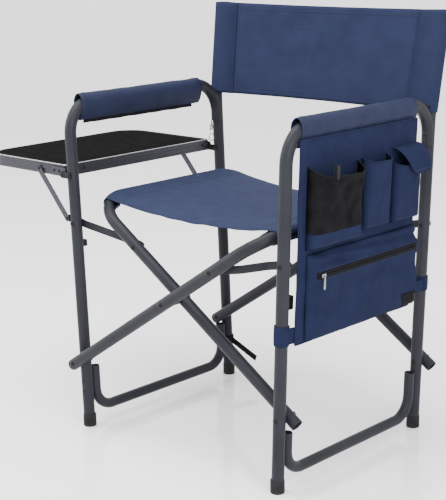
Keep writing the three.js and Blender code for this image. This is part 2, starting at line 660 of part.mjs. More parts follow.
const lugFrom = STRUT_THICK / 2 + GAP;
add('front_strut', strutGeometry(FRONT_STRUT_Y), edgeMetal);
add('rear_strut', strutGeometry(REAR_STRUT_Y), edgeMetal);
const frontLug = strutLug(FRONT_STRUT_Y + lugFrom, 9, FRONT_STRUT_Y - 3, legRod);
const rearLug = strutLug(REAR_STRUT_Y + lugFrom, DEPTH + 4, REAR_STRUT_Y - 3, postRod);
add('front_strut_lug', frontLug, blackPlastic);
add('rear_strut_lug', rearLug, blackPlastic);

// Snap hook and ring that hold the folded chair shut, hanging from the arm tail.
const HOOK = { y: DEPTH - TAIL_STEP - TUBE / 2 - 6, low: 594, high: 626 };
const RING = { radius: 8, wire: 1.2 };
add('snap_hook', box([-3, HOOK.y - 5, HOOK.low], [3, HOOK.y + 3, HOOK.high]), brightMetal, leftGroup);
const ring = new THREE.TorusGeometry(RING.radius, RING.wire, 8, 14).rotateY(Math.PI / 2);
add('split_ring', ring.translate(0, HOOK.y - 2, HOOK.low - RING.radius - 2), brightMetal, leftGroup);

// Webbing strap that ties the folded chair, looped round the foot of the left rear post between the rivets.
function closureStrap() {
  const [low, high] = [84, 98];
  const half = (high - low) / 2;
  const middle = (low + high) / 2;
  const loop = onLeftFrame(pinZ(0, DEPTH, low, high, TUBE / 2 + WEBBING, LOOP_SIDES));
  const tongue = box([8, 2.4, -half], [96, 4.4, half]).rotateY(THREE.MathUtils.degToRad(22));
  tongue.translate(-legX(middle), DEPTH, middle);
  const railRod = onLeftFrame(rodAlong(floorRailLine(RAIL_END_Z, RAIL_END_Z), RAIL + 2 * GAP));
  return cut(join(loop, tongue), postRod, railRod);
}
add('closure_strap', closureStrap(), blackWebbing);

// ---- origin: centre of the footprint of the whole chair, on the floor ---------------------------
chair.updateMatrixWorld(true);
const bounds = new THREE.Box3().setFromObject(chair, true);
const centre = bounds.getCenter(new THREE.Vector3());
const part = new THREE.Group();
chair.position.set(-centre.x, -centre.y, 0);
part.add(chair);

export default part;
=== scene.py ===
import math

import bmesh
import bpy
from mathutils import Matrix, Vector, noise


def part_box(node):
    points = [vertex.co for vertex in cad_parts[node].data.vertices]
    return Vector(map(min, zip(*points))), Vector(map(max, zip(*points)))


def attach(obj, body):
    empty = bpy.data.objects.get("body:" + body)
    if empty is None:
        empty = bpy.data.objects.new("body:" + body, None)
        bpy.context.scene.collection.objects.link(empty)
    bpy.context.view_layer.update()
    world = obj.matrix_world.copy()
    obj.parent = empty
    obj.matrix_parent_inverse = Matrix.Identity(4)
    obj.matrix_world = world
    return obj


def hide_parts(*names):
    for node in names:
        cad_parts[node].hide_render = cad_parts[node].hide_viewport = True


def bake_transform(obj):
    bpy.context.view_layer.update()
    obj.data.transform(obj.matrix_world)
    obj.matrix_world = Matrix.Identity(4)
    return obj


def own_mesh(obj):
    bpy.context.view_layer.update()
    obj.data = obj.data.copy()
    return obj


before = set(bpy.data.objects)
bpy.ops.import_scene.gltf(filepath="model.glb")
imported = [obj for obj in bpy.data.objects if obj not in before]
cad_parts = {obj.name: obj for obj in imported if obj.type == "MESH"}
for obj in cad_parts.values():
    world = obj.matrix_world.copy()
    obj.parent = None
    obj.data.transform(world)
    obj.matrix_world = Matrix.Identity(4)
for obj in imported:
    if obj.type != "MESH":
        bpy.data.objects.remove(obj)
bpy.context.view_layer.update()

# ---- how the chair stands -------------------------------------------------------------------------
# Drawn in millimetres from the middle of the chair at the front legs' line, where the floor is at 0:
# x to the right as seen from in front, y to the back and z up.
MM = 0.001


def middle_of(node):
    low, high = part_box(node)
    return (Vector(low) + Vector(high)) / 2


MIDDLE_X = (middle_of("left_front_foot").x + middle_of("right_front_foot").x) / 2
LEG_Y = middle_of("left_front_foot").y


def place(x, y, z):
    return Vector((MIDDLE_X + x * MM, LEG_Y + y * MM, z * MM))


# ---- studio ---------------------------------------------------------------------------------------
# The chair stands on a plain pale floor under three large soft lamps and an even pale surround, seen
# from in front and from the right, from a little above its back rest.
VIEW_FROM = place(1790.6, -1774.2, 1058.2)
VIEW_TO = place(133.1, 4.4, 458.8)
VIEW_ROLL = math.radians(-0.895)

camera = bpy.data.objects.new("camera", bpy.data.cameras.new("camera"))
bpy.context.scene.collection.objects.link(camera)
aim = (VIEW_TO - VIEW_FROM).to_track_quat("-Z", "Y").to_matrix().to_4x4()
camera.matrix_world = Matrix.Translation(VIEW_FROM) @ aim @ Matrix.Rotation(VIEW_ROLL, 4, "Z")
camera.data.sensor_width = 36
camera.data.lens = 94.0
camera.data.clip_end = 60
bpy.context.scene.camera = camera


def soft_lamp(name, spot, size, power):
    lamp = bpy.data.lights.new(name, "AREA")
    lamp.shape = "DISK"
    lamp.size = size
    lamp.energy = power
    holder = bpy.data.objects.new(name, lamp)
    bpy.context.scene.collection.objects.link(holder)
    holder.location = spot
    holder.rotation_euler = (place(0, 200, 450) - spot).to_track_quat("-Z", "Y").to_euler()


soft_lamp("lamp_over", place(-400, -600, 2900), 2.2, 125)
soft_lamp("lamp_right", place(2300, -900, 1500), 1.8, 62)
soft_lamp("lamp_left", place(-2300, -1200, 1400), 1.8, 48)

world = bpy.data.worlds.new("surround")
world.use_nodes = True
world.node_tree.nodes["Background"].inputs["Color"].default_value = (1, 1, 1, 1)
world.node_tree.nodes["Background"].inputs["Strength"].default_value = 2.0
bpy.context.scene.world = world


def dress(name, colour, rough, metal=0.0, shine=0.5):
    """A finish to build on: its shader, with what is the same all over set on the shader itself."""
    made = bpy.data.materials.new(name)
    made.use_nodes = True
    shader = made.node_tree.nodes["Principled BSDF"]
    shader.inputs["Base Color"].default_value = (*colour, 1)
    shader.inputs["Roughness"].default_value = rough
    shader.inputs["Metallic"].default_value = metal
    shader.inputs["Specular IOR Level"].default_value = shine
    return made, made.node_tree, shader


def grain(tree, scale, detail=3.0):
    where = tree.nodes.new("ShaderNodeTexCoord")
    made = tree.nodes.new("ShaderNodeTexNoise")
    made.inputs["Scale"].default_value = scale
    made.inputs["Detail"].default_value = detail
    tree.links.new(where.outputs["Object"], made.inputs["Vector"])
    return made.outputs["Fac"]


def vary_gloss(tree, shader, amount, low, high):
    spread = tree.nodes.new("ShaderNodeMapRange")
    spread.inputs["To Min"].default_value = low
    spread.inputs["To Max"].default_value = high
    tree.links.new(amount, spread.inputs["Value"])
    tree.links.new(spread.outputs["Result"], shader.inputs["Roughness"])


FLOOR_REACH = 12
FLOOR_DROP = 0.0005
floor_mesh = bpy.data.meshes.new("floor")
floor_corners = [(x * FLOOR_REACH, y * FLOOR_REACH, 0) for x, y in ((-1, -1), (1, -1), (1, 1), (-1, 1))]
floor_mesh.from_pydata(floor_corners, [], [(0, 1, 2, 3)])
floor = bpy.data.objects.new("floor", floor_mesh)
floor.location.z = -FLOOR_DROP
bpy.context.scene.collection.objects.link(floor)
floor_finish, floor_tree, floor_shader = dress("pale_floor", (0.92, 0.92, 0.92), 0.09)
vary_gloss(floor_tree, floor_shader, grain(floor_tree, 2.0), 0.07, 0.11)
floor_mesh.materials.append(floor_finish)

# ---- bent tubes: side frames ----------------------------------------------------------------------
# Bent round steel tube, 25 mm for legs, arms and posts and 22 mm for the floor rails, powder coated
# charcoal. The leg, arm and short tail are one tube; the rail is riveted between leg and post. Each
# frame leans a little outward.
FLOOR_HALF = 271
LEAN = math.atan(0.038)
DEPTH = (middle_of("left_rear_foot").y - LEG_Y) / MM
TUBE = 25
RAIL = 22
WALL = 1.5
CLEAR = 0.3
IN_FOOT = 8
ARM_Z = 711.6
ARM_BEND = 70
TAIL_STEP = 4
TAIL_END = 622
POST_BEND_Z = 678
POST_BEND = 120
POST_TOP = 888
RECLINE = math.radians(8.4)
RAIL_Z = 33.2
RAIL_BEND = 45
RAIL_FRONT_END = {-1: 131, 1: 117}
RAIL_REAR_END = 131
RAIL_RIVETS = (102, 80)
TAIL_RIVETS = (646, 632)
AHEAD, BEHIND = Vector((0, -1, 0)), Vector((0, 1, 0))
CHARCOAL_DARK = (0.015, 0.0155, 0.020)
CHARCOAL_LIGHT = (0.021, 0.0215, 0.027)


def vary_colour(tree, shader, amount, dark, light):
    ramp = tree.nodes.new("ShaderNodeValToRGB")
    ramp.color_ramp.elements[0].position = 0.32
    ramp.color_ramp.elements[0].color = (*dark, 1)
    ramp.color_ramp.elements[1].position = 0.68
    ramp.color_ramp.elements[1].color = (*light, 1)
    tree.links.new(amount, ramp.inputs["Fac"])
    tree.links.new(ramp.outputs["Color"], shader.inputs["Base Color"])


def raise_surface(tree, shader, height, strength, distance):
    bump = tree.nodes.new("ShaderNodeBump")
    bump.inputs["Strength"].default_value = strength
    bump.inputs["Distance"].default_value = distance
    tree.links.new(height, bump.inputs["Height"])
    tree.links.new(bump.outputs["Normal"], shader.inputs["Normal"])


powder_coat, tree, shader = dress("powder_coated_steel", CHARCOAL_LIGHT, 0.42, shine=0.09)
vary_colour(tree, shader, grain(tree, 9.0), CHARCOAL_DARK, CHARCOAL_LIGHT)
vary_gloss(tree, shader, grain(tree, 60.0), 0.36, 0.48)
raise_surface(tree, shader, grain(tree, 900.0, 2.0), 0.12, 0.0003)


def beside(side, out, y, up):
    """A point on a side frame: out from the tubes' middle plane, back from the leg, up along the leg."""
    x = side * (FLOOR_HALF + out * math.cos(LEAN) + up * math.sin(LEAN))
    return place(x, y, up * math.cos(LEAN) - out * math.sin(LEAN))


def bent(corners, radii, step=math.radians(5)):
    """The middle line of a bent tube: straight runs joined by round bends."""
    line = [corners[0]]
    for i, radius in enumerate(radii, 1):
        into = (corners[i] - corners[i - 1]).normalized()
        out = (corners[i + 1] - corners[i]).normalized()
        turn = into.angle(out)
        side = (out - into * out.dot(into)).normalized()
        start = corners[i] - into * (radius * math.tan(turn / 2))
        steps = max(2, math.ceil(turn / step))
        for k in range(steps + 1):
            a = turn * k / steps
            line.append(start + into * (radius * math.sin(a)) + side * (radius * (1 - math.cos(a))))
    return line + [corners[-1]]


def bring(name, points, faces, material):
    mesh = bpy.data.meshes.new(name)
    mesh.from_pydata([tuple(p) for p in points], [], faces)
    mesh.materials.append(material)
    work = bmesh.new()
    work.from_mesh(mesh)
    bmesh.ops.remove_doubles(work, verts=work.verts, dist=1e-7)
    bmesh.ops.recalc_face_normals(work, faces=work.faces)
    work.to_mesh(mesh)
    work.free()
    for face in mesh.polygons:
        face.use_smooth = True
    made = bpy.data.objects.new(name, mesh)
    bpy.context.scene.collection.objects.link(made)
    return made


def skin(name, rows, material, ring=False, loop=False):
    """A surface through rows of points. ring joins each row's ends; loop joins the last row to the first."""
    wide = len(rows[0])
    faces = []
    for i in range(len(rows) - (0 if loop else 1)):
        for k in range(wide - (0 if ring else 1)):
            below, above = i * wide, (i + 1) % len(rows) * wide
            faces.append((below + k, below + (k + 1) % wide, above + (k + 1) % wide, above + k))
    return bring(name, [p for row in rows for p in row], faces, material)


def keep_sharp(piece, angle=40):
    piece.data.set_sharp_from_angle(angle=math.radians(angle))
    return piece


def full_turn(count):
    """Angles round a circle, in even steps."""
    return [2 * math.pi * k / count for k in range(count)]


def tube(name, line, width, material, wall=WALL, sides=32):
    """Round tube along a line in metres, open at both ends with its wall showing."""
    runs = [(b - a).normalized() for a, b in zip(line, line[1:])]
    ways = [runs[0]] + [(a + b).normalized() for a, b in zip(runs, runs[1:])] + [runs[-1]]
    side = ways[0].orthogonal().normalized()
    outer, inner = [], []
    for point, way in zip(line, ways):
        side = (side - way * side.dot(way)).normalized()
        up = way.cross(side)
        spokes = [side * math.cos(a) + up * math.sin(a) for a in full_turn(sides)]
        outer.append([point + s * (width / 2 * MM) for s in spokes])
        inner.append([point + s * ((width / 2 - wall) * MM) for s in spokes])
    return keep_sharp(skin(name, outer + inner[::-1], material, ring=True, loop=True))


def turned(name, profile, foot, way, material, sides=28):
    """A round piece from a profile of (radius, height) in millimetres, standing on foot and facing way."""
    way = way.normalized()
    side = way.orthogonal().normalized()
    up = way.cross(side)
    rows = []
    for radius, height in profile:
        rows.append([foot + way * (height * MM) + (side * math.cos(a) + up * math.sin(a)) * (radius * MM)
                     for a in full_turn(sides)])
    return keep_sharp(skin(name, rows, material, ring=True), 50)


def belongs(piece, body, slot, *nodes):
    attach(piece, body)
    if nodes:
        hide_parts(*nodes)
    return piece


def reclined(z):
    return DEPTH + (z - POST_BEND_Z) * math.tan(RECLINE)


RIVET = [(0, -1.2), (3.4, -1.2), (3.4, 0.3), (3.1, 1.1), (2.2, 1.9), (1.0, 2.3), (0, 2.4)]
FRAMES = {-1: "left", 1: "right"}


def rivet(name, spot, way, material, body, slot):
    belongs(turned(name, RIVET, spot, way, material), body, slot)



for side, hand in FRAMES.items():
    body = f"{hand}_frame"

    def on(y, up):
        return beside(side, 0, y, up)

    tail_y = DEPTH - TAIL_STEP
    arm_line = bent([on(0, IN_FOOT), on(0, ARM_Z), on(tail_y, ARM_Z), on(tail_y, TAIL_END)],
                    [ARM_BEND * MM] * 2)
    leg_and_arm = tube(f"{hand}_leg_and_arm", arm_line, TUBE, powder_coat)
    belongs(leg_and_arm, body, "steel_tube", f"{hand}_side_tube")
    post_top = on(reclined(POST_TOP), POST_TOP)
    post_line = bent([on(DEPTH, IN_FOOT), on(DEPTH, POST_BEND_Z), post_top], [POST_BEND * MM])
    belongs(tube(f"{hand}_post", post_line, TUBE, powder_coat), body, "steel_tube", f"{hand}_rear_post")
    inset = TUBE / 2 + RAIL / 2 + CLEAR
    rail_line = bent([on(inset, RAIL_FRONT_END[side]), on(inset, RAIL_Z),
                      on(DEPTH - inset, RAIL_Z), on(DEPTH - inset, RAIL_REAR_END)], [RAIL_BEND * MM] * 2)
    belongs(tube(f"{hand}_rail", rail_line, RAIL, powder_coat), body, "steel_tube", f"{hand}_floor_rail")

    rivets = [(0, -TUBE / 2, z, AHEAD) for z in RAIL_RIVETS]
    rivets += [(DEPTH, TUBE / 2, z, BEHIND) for z in RAIL_RIVETS]
    rivets += [(tail_y, -TUBE / 2, z, AHEAD) for z in TAIL_RIVETS]
    for i, (y, off, z, way) in enumerate(rivets):
        rivet(f"{hand}_rivet_{i}", on(y + off, z), way, powder_coat, body, "steel_tube")

# ---- rubber feet ----------------------------------------------------------------------------------
# Moulded black rubber cups pushed on the ends of the legs and posts, with a rolled rim, two shallow
# grip rings and a dull, faintly mottled surface.
rubber, tree, shader = dress("foot_rubber", (0.010, 0.010, 0.011), 0.8, shine=0.2)
vary_colour(tree, shader, grain(tree, 45.0), (0.007, 0.007, 0.008), (0.014, 0.014, 0.015))
raise_surface(tree, shader, grain(tree, 500.0), 0.2, 0.0004)
FOOT = [(0, 0), (13.2, 0), (14.1, 0.8), (14.3, 2.4), (14.3, 9), (13.8, 9.7), (14.3, 10.4), (14.3, 15),
        (13.8, 15.7), (14.3, 16.4), (14.3, 25), (14.0, 26.4), (13.4, 27), (12.8, 26.6), (12.8, 8), (0, 8)]

for side, hand in FRAMES.items():
    for where, y in (("front", 0), ("rear", DEPTH)):
        under = place(side * FLOOR_HALF, y, 0)
        foot = turned(f"{hand}_{where}_cap", FOOT, under, Vector((0, 0, 1)), rubber, 40)
        belongs(foot, f"{hand}_frame", "rubber", f"{hand}_{where}_foot")

# ---- crossing tubes -------------------------------------------------------------------------------
# Two U-shaped tubes that cross under the seat. The front one runs from the left frame up to the right
# seat rail, the rear one from the right frame to the left rail, bolted together where they cross.
PIVOT_Z = 149.5
SLOPE = math.radians(33.5)
CROSS_OFFSET = 27
SEAT_REACH = 304.6
CROSS_BEND = 75
LINK_REACH = 160
TAIL = {1: 13, -1: 26}
LINK_Z = 453


def leg_x(z):
    return FLOOR_HALF + math.tan(LEAN) * z


CENTRE_Z = PIVOT_Z + leg_x(PIVOT_Z) * math.tan(SLOPE)
LOWER_REACH = leg_x(PIVOT_Z) / math.cos(SLOPE)


def on_cross(side, along, y):
    return place(side * along * math.cos(SLOPE), y, CENTRE_Z + along * math.sin(SLOPE))


for side, which, shift in ((1, "front", -CROSS_OFFSET), (-1, "rear", CROSS_OFFSET)):
    low = -LOWER_REACH - TAIL[side]
    corners = [on_cross(side, low, shift), on_cross(side, SEAT_REACH, shift),
               on_cross(side, SEAT_REACH, shift + DEPTH), on_cross(side, low, shift + DEPTH)]
    crossing = tube(f"{which}_crossing", bent(corners, [CROSS_BEND * MM] * 2), TUBE, powder_coat)
    belongs(crossing, f"{which}_cross", "steel_tube", f"{which}_cross_tube")

# ---- bolts and spacers ----------------------------------------------------------------------------
# Dome-headed blackened steel bolts with cap nuts behind, through the lower pivots and the crossing,
# and a black nylon spacer between the two crossing tubes.
bolt_steel, tree, shader = dress("bolt_steel", (0.007, 0.007, 0.008), 0.35, shine=0.12)
vary_gloss(tree, shader, grain(tree, 300.0), 0.25, 0.45)
black_plastic, tree, shader = dress("black_nylon", (0.006, 0.006, 0.007), 0.5, shine=0.15)
vary_gloss(tree, shader, grain(tree, 120.0), 0.42, 0.6)
raise_surface(tree, shader, grain(tree, 1500.0, 2.0), 0.25, 0.0002)

DOME = [(0, 3.0), (2.0, 2.8), (3.9, 2.1), (5.2, 1.0), (5.5, 0.0), (5.5, -0.3), (0, -0.3)]
CAP_NUT = [(0, 7.2), (1.8, 6.9), (3.3, 5.9), (4.2, 4.4), (4.4, 3.4), (5.5, 3.2), (5.5, 0), (0, 0)]


def bolt(name, x, y_front, y_back, z):
    """Head in front, shank and cap nut behind, joined in one mesh."""
    long = y_back - y_front
    shank = [(0, 0), (3.0, 0), (3.0, long), (0, long)]
    parts = [
        turned(name, DOME, place(x, y_front, z), AHEAD, bolt_steel),
        turned("shank", shank, place(x, y_front, z), BEHIND, bolt_steel),
        turned("nut", CAP_NUT, place(x, y_back, z), BEHIND, bolt_steel, 24),
    ]
    return joined(parts)


def joined(parts):
    bpy.ops.object.select_all(action="DESELECT")
    for part in parts:
        part.select_set(True)
    bpy.context.view_layer.objects.active = parts[0]
    bpy.ops.object.join()
    return parts[0]


for side, hand in FRAMES.items():
    for where, y in (("front", 0), ("rear", DEPTH)):
        y_front = y - TUBE / 2 - (CROSS_OFFSET if side < 0 else 0)
        y_back = y + TUBE / 2 + (0 if side < 0 else CROSS_OFFSET)
        made = bolt(f"{hand}_{where}_bolt", side * leg_x(PIVOT_Z), y_front, y_back, PIVOT_Z)
        belongs(made, f"{hand}_frame", "bolt_steel", f"{hand}_{where}_pivot_bolt")
for where, y in (("front", 0), ("rear", DEPTH)):
    reach = CROSS_OFFSET + TUBE / 2
    made = bolt(f"crossing_{where}_bolt", 0, y - reach, y + reach, CENTRE_Z)
    belongs(made, "front_cross", "bolt_steel", f"centre_{where}_bolt")
    gap = CROSS_OFFSET - TUBE / 2 - CLEAR
    ring = [(3.4, 0), (7.4, 0), (8, 0.6), (8, 2 * gap - 0.6), (7.4, 2 * gap), (3.4, 2 * gap)]
    foot = place(0, y - gap, CENTRE_Z)
    spacer = turned(f"crossing_{where}_spacer", ring, foot, BEHIND, black_plastic)
    belongs(spacer, "front_cross", "black_plastic", f"centre_{where}_spacer")

# ---- links ----------------------------------------------------------------------------------------
# Flat steel links, 16 mm wide, from each leg to the crossing tube beside it, bolted at either end. Leg
# and tube don't lie in one plane, so the left ones slant all the way and the right ones are cranked.
LINK_WIDTH = 16
LINK_THICK = 2.2
LINK_SLANT_IN = 14
LINK_CRANK = (52, 95)


def ease_edges(piece, width, steps):
    edge = piece.modifiers.new("eased_edges", "BEVEL")
    edge.width = width * MM
    edge.segments = steps
    return keep_sharp(piece, 35)


def flat_bar(name, spine, across, thick, width, material):
    """A flat bar with round ends along a spine of points; across is its width's direction."""
    lengths = [0.0]
    for a, b in zip(spine, spine[1:]):
        lengths.append(lengths[-1] + (b - a).length / MM)
    total, half = lengths[-1], width / 2
    marks = sorted({half * (1 - math.cos(math.pi / 2 * k / 7)) for k in range(8)}
                   | {total - half * (1 - math.cos(math.pi / 2 * k / 7)) for k in range(8)}
                   | {m for m in lengths if half < m < total - half})
    front, back = [], []
    for mark in marks:
        i = max(k for k in range(len(spine) - 1) if lengths[k] <= mark + 1e-6)
        share = (mark - lengths[i]) / (lengths[i + 1] - lengths[i])
        point = spine[i].lerp(spine[i + 1], share)
        near = min(mark, total - mark)
        reach = half if near >= half else math.sqrt(max(half ** 2 - (half - near) ** 2, 0.01))
        front.append([point - across * (reach * MM), point + across * (reach * MM)])
        back.append([p + thick for p in front[-1]])
    rows = [[f[0], f[1], b[1], b[0]] for f, b in zip(front, back)]
    made = skin(name, rows, material, ring=True)
    closing = bmesh.new()
    closing.from_mesh(made.data)
    bmesh.ops.holes_fill(closing, edges=closing.edges)
    bmesh.ops.recalc_face_normals(closing, faces=closing.faces)
    closing.to_mesh(made.data)
    closing.free()
    return ease_edges(made, 0.4, 2)


for side, hand in FRAMES.items():
    for where, y in (("front", 0), ("rear", DEPTH)):
        y_leg = y + TUBE / 2 + CLEAR
        y_far = y_leg + (CROSS_OFFSET if side < 0 else -CROSS_OFFSET)
        leg, far = place(side * leg_x(LINK_Z), 0, LINK_Z), on_cross(side, LINK_REACH, 0)
        way = (far - leg).normalized()
        long = (far - leg).length / MM
        back = Vector((0, MM, 0))

        def spot(along, depth):
            return leg + way * (along * MM) + back * depth

        set_from, set_to = (LINK_SLANT_IN, long - LINK_SLANT_IN) if side < 0 else LINK_CRANK
        spine = [spot(-LINK_WIDTH / 2, y_leg), spot(set_from, y_leg), spot(set_to, y_far),
                 spot(long + LINK_WIDTH / 2, y_far)]
        body = f"{hand}_{where}_link"
        across = way.cross(BEHIND).normalized()
        thick = back * LINK_THICK
        link = flat_bar(f"{hand}_{where}_flat_link", spine, across, thick, LINK_WIDTH, powder_coat)
        belongs(link, body, "steel_tube", f"{hand}_{where}_link")
        for end, along, depth in (("leg", 0, y_leg), ("tube", long, y_far)):
            behind = spot(along, depth + LINK_THICK)
            nut = turned(f"{hand}_{where}_link_{end}_nut", CAP_NUT, behind, BEHIND, bolt_steel, 24)
            belongs(nut, body, "steel_tube")
        leg_head = turned(f"{hand}_{where}_leg_link_bolt", DOME, spot(0, y - TUBE / 2), AHEAD, bolt_steel)
        belongs(leg_head, f"{hand}_frame", "bolt_steel")
        tube_y = y + (CROSS_OFFSET if side < 0 else -CROSS_OFFSET)
        head_at = spot(long, tube_y - TUBE / 2)
        tube_head = turned(f"{hand}_{where}_tube_link_bolt", DOME, head_at, AHEAD, bolt_steel)
        belongs(tube_head, "rear_cross" if side < 0 else "front_cross", "bolt_steel")

# ---- seat -----------------------------------------------------------------------------------------
# One piece of coated polyester weave, looped round each seat rail and sewn down, so it hangs slack
# between them. The front and back edges are turned under and stitched.
SEAT_START = {-1: 48, 1: 16}
SEAT_END = {-1: 460, 1: 406}
SEAT_SAG = 18
SEAT_SEAM_IN = 34
CLOTH_ROUND = TUBE / 2 + 1.5
THREAD = 0.0011


def woven(name, dark, light, rough=0.78, shine=0.03):
    """Plain-weave cloth: crossing threads, faint slubs and hardly any shine."""
    made, tree, shader = dress(name, light, rough, shine=shine)
    where = tree.nodes.new("ShaderNodeTexCoord")
    split = tree.nodes.new("ShaderNodeSeparateXYZ")
    tree.links.new(where.outputs["Object"], split.inputs["Vector"])

    def worked(operation, first, second=None):
        step = tree.nodes.new("ShaderNodeMath")
        step.operation = operation
        tree.links.new(first, step.inputs[0])
        if isinstance(second, float):
            step.inputs[1].default_value = second
        elif second:
            tree.links.new(second, step.inputs[1])
        return step.outputs[0]

    closeness = 2 * math.pi / THREAD
    threads = [worked("SINE", worked("MULTIPLY", split.outputs[axis], closeness)) for axis in "XYZ"]
    height = worked("ADD", worked("ADD", threads[0], threads[1]), threads[2])
    vary_colour(tree, shader, grain(tree, 26.0, 6.0), dark, light)
    vary_gloss(tree, shader, grain(tree, 110.0), rough - 0.08, rough + 0.08)
    raise_surface(tree, shader, height, 0.3, 0.00012)
    return made


seat_cloth = woven("navy_seat_weave", (0.0178, 0.0225, 0.048), (0.0215, 0.027, 0.057))


def into_bend(y, start):
    """How far a seat rail has turned, and moved inward, where it passes y."""
    straight = (start + CROSS_BEND, start + DEPTH - CROSS_BEND)
    past = max(straight[0] - y, y - straight[1], 0)
    turn = math.asin(min(past / CROSS_BEND, 0.95))
    return turn, CROSS_BEND * (1 - math.cos(turn))


def wrap(side, y, angles):
    """Cloth round a seat rail, in the upright plane at y."""
    turn, inward = into_bend(y, CROSS_OFFSET if side < 0 else -CROSS_OFFSET)
    along = SEAT_REACH - inward
    cx, cz = along * math.cos(SLOPE), CENTRE_Z + along * math.sin(SLOPE)
    points = []
    for a in angles:
        u = CLOTH_ROUND / math.cos(turn) * math.cos(a)
        v = CLOTH_ROUND * math.sin(a)
        x = cx + u * math.cos(SLOPE) - v * math.sin(SLOPE)
        points.append((side * x, cz + u * math.sin(SLOPE) + v * math.cos(SLOPE)))
    return points


ROUND_RAIL = [math.radians(-118 + 183 * k / 14) for k in range(15)]
SEAT_STEPS = 56


def wander(x, y, z):
    """A smooth, uneven change from place to place, for creases and slack."""
    return noise.noise(Vector((x, y, z)))


def seat_row(share):
    ys = {side: SEAT_START[side] + (SEAT_END[side] - SEAT_START[side]) * share for side in (-1, 1)}
    left = wrap(-1, ys[-1], ROUND_RAIL)
    right = wrap(1, ys[1], ROUND_RAIL)[::-1]
    (lx, lz), (rx, rz) = left[-1], right[0]
    edge = min(share, 1 - share)
    across = []
    for k in range(1, SEAT_STEPS):
        u = k / SEAT_STEPS
        x = lx + (rx - lx) * u
        sag = SEAT_SAG * 4 * u * (1 - u)
        near_rail = math.exp(-min(u, 1 - u) / 0.1)
        pull = math.sin(share * 62 + 5 * wander(share * 5, u * 3, 0)) * 1.1 * near_rail
        pull += 1.6 * wander(u * 5, share * 4, 2.3)
        pull += 1.5 * math.exp(-edge / 0.08) * wander(u * 14, 7.0, share * 3)
        across.append((x, lz + (rz - lz) * u - sag + pull * min(1, 8 * min(u, 1 - u))))

    def seam(points, x_in):
        x = points[-1 if x_in > 0 else 0][0] + x_in
        return x, lz - SEAT_SAG * 0.42 - 1.5

    line = [seam(left, SEAT_SEAM_IN)] + left + across + right + [seam(right, -SEAT_SEAM_IN)]
    row = []
    for x, z in line:
        mix = min(max((x - lx) / (rx - lx), 0), 1)
        y = ys[-1] + (ys[1] - ys[-1]) * mix
        if edge < 0.02:
            y += (1 if share < 0.5 else -1) * 5.5 * 4 * mix * (1 - mix)
        row.append(place(x, y, z))
    return row


seat_rows = [seat_row(k / 44) for k in range(45)]


def spread(rows):
    """A cloth's width and length before it was sewn, measured over its middle rows."""
    def run(points):
        return sum((b - a).length for a, b in zip(points, points[1:]))
    return run(rows[len(rows) // 2]), run([row[len(row) // 2] for row in rows])


def as_cloth(piece, thick=1.0):
    body = piece.modifiers.new("cloth_thickness", "SOLIDIFY")
    body.thickness = thick * MM
    body.offset = 0
    return piece


def stitching(name, line, material, pitch=4.2, long=2.7, wide=0.8, lift=Vector((0, 0, 0))):
    """A row of single stitches standing slightly proud along a line."""
    points, faces = [], []
    for a, b in zip(line, line[1:]):
        run = b - a
        count = max(1, round(run.length / (pitch * MM)))
        way = run.normalized()
        side = way.orthogonal().normalized()
        up = way.cross(side)
        for k in range(count):
            mid = a + run * ((k + 0.5) / count) + lift
            first = len(points)
            for along in (-long / 2, long / 2):
                for s, u in ((-1, -1), (1, -1), (1, 1), (-1, 1)):
                    points.append(mid + way * (along * MM) + (side * s + up * u) * (wide / 2 * MM))
            faces += [tuple(first + i for i in f) for f in
                      ((0, 1, 2, 3), (7, 6, 5, 4), (0, 4, 5, 1), (1, 5, 6, 2), (2, 6, 7, 3), (3, 7, 4, 0))]
    return bring(name, points, faces, material)


stitch_thread, tree, shader = dress("navy_thread", (0.022, 0.027, 0.052), 0.7, shine=0.1)
vary_gloss(tree, shader, grain(tree, 400.0), 0.5, 0.7)

seat = as_cloth(skin("seat_sling", seat_rows, seat_cloth))
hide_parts("seat_panel", "left_seat_sleeve", "right_seat_sleeve")
spread(seat_rows)
seat_lines = [[row[20] for row in seat_rows], [row[-21] for row in seat_rows],
              seat_rows[1][16:-16], seat_rows[-2][16:-16]]
seat_stitches = joined([stitching(f"seat_stitches_{i}", line, stitch_thread, lift=Vector((0, 0, 0.0007)))
                        for i, line in enumerate(seat_lines)])
seat_stitches.name = "seat_stitches"
for piece in (seat, seat_stitches):
    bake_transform(piece)

# ---- back rest ------------------------------------------------------------------------------------
# A panel of the same weave between the posts, with a pocket sewn down each side that slides over the
# post. Top and bottom edges are turned and stitched.
BACK_LOW = 688
BACK_TOP = 893
SEAM_IN = 55
PANEL_AHEAD = 5
POCKET_ROUND = TUBE / 2 + 1.7
REACH = math.hypot(SEAM_IN, PANEL_AHEAD)
SEAM_TURN = math.pi + math.atan2(PANEL_AHEAD, SEAM_IN)
POCKET_LEAVES = math.acos(POCKET_ROUND / REACH)

back_cloth = woven("navy_back_weave", (0.0132, 0.0168, 0.039), (0.0157, 0.020, 0.0455))


def back_sleeve_row(side, z):
    middle = reclined(z)
    x = leg_x(z)
    line = [(x - SEAM_IN, middle - PANEL_AHEAD + 1.2)]
    first, last = SEAM_TURN - POCKET_LEAVES, SEAM_TURN + POCKET_LEAVES - 2 * math.pi
    for k in range(21):
        a = first + (last - first) * k / 20
        line.append((x + POCKET_ROUND * math.cos(a), middle + POCKET_ROUND * math.sin(a)))
    line.append((x - SEAM_IN, middle - PANEL_AHEAD - 1.2))
    crease = 0.5 * wander(z * 0.03, side * 4, 1.0)
    return [place(side * (px - crease), py, z - (0 if px > x - 20 else 0.5)) for px, py in line]


def even(low, high, count):
    """Values from low to high, in even steps."""
    return [low + (high - low) * k / count for k in range(count + 1)]


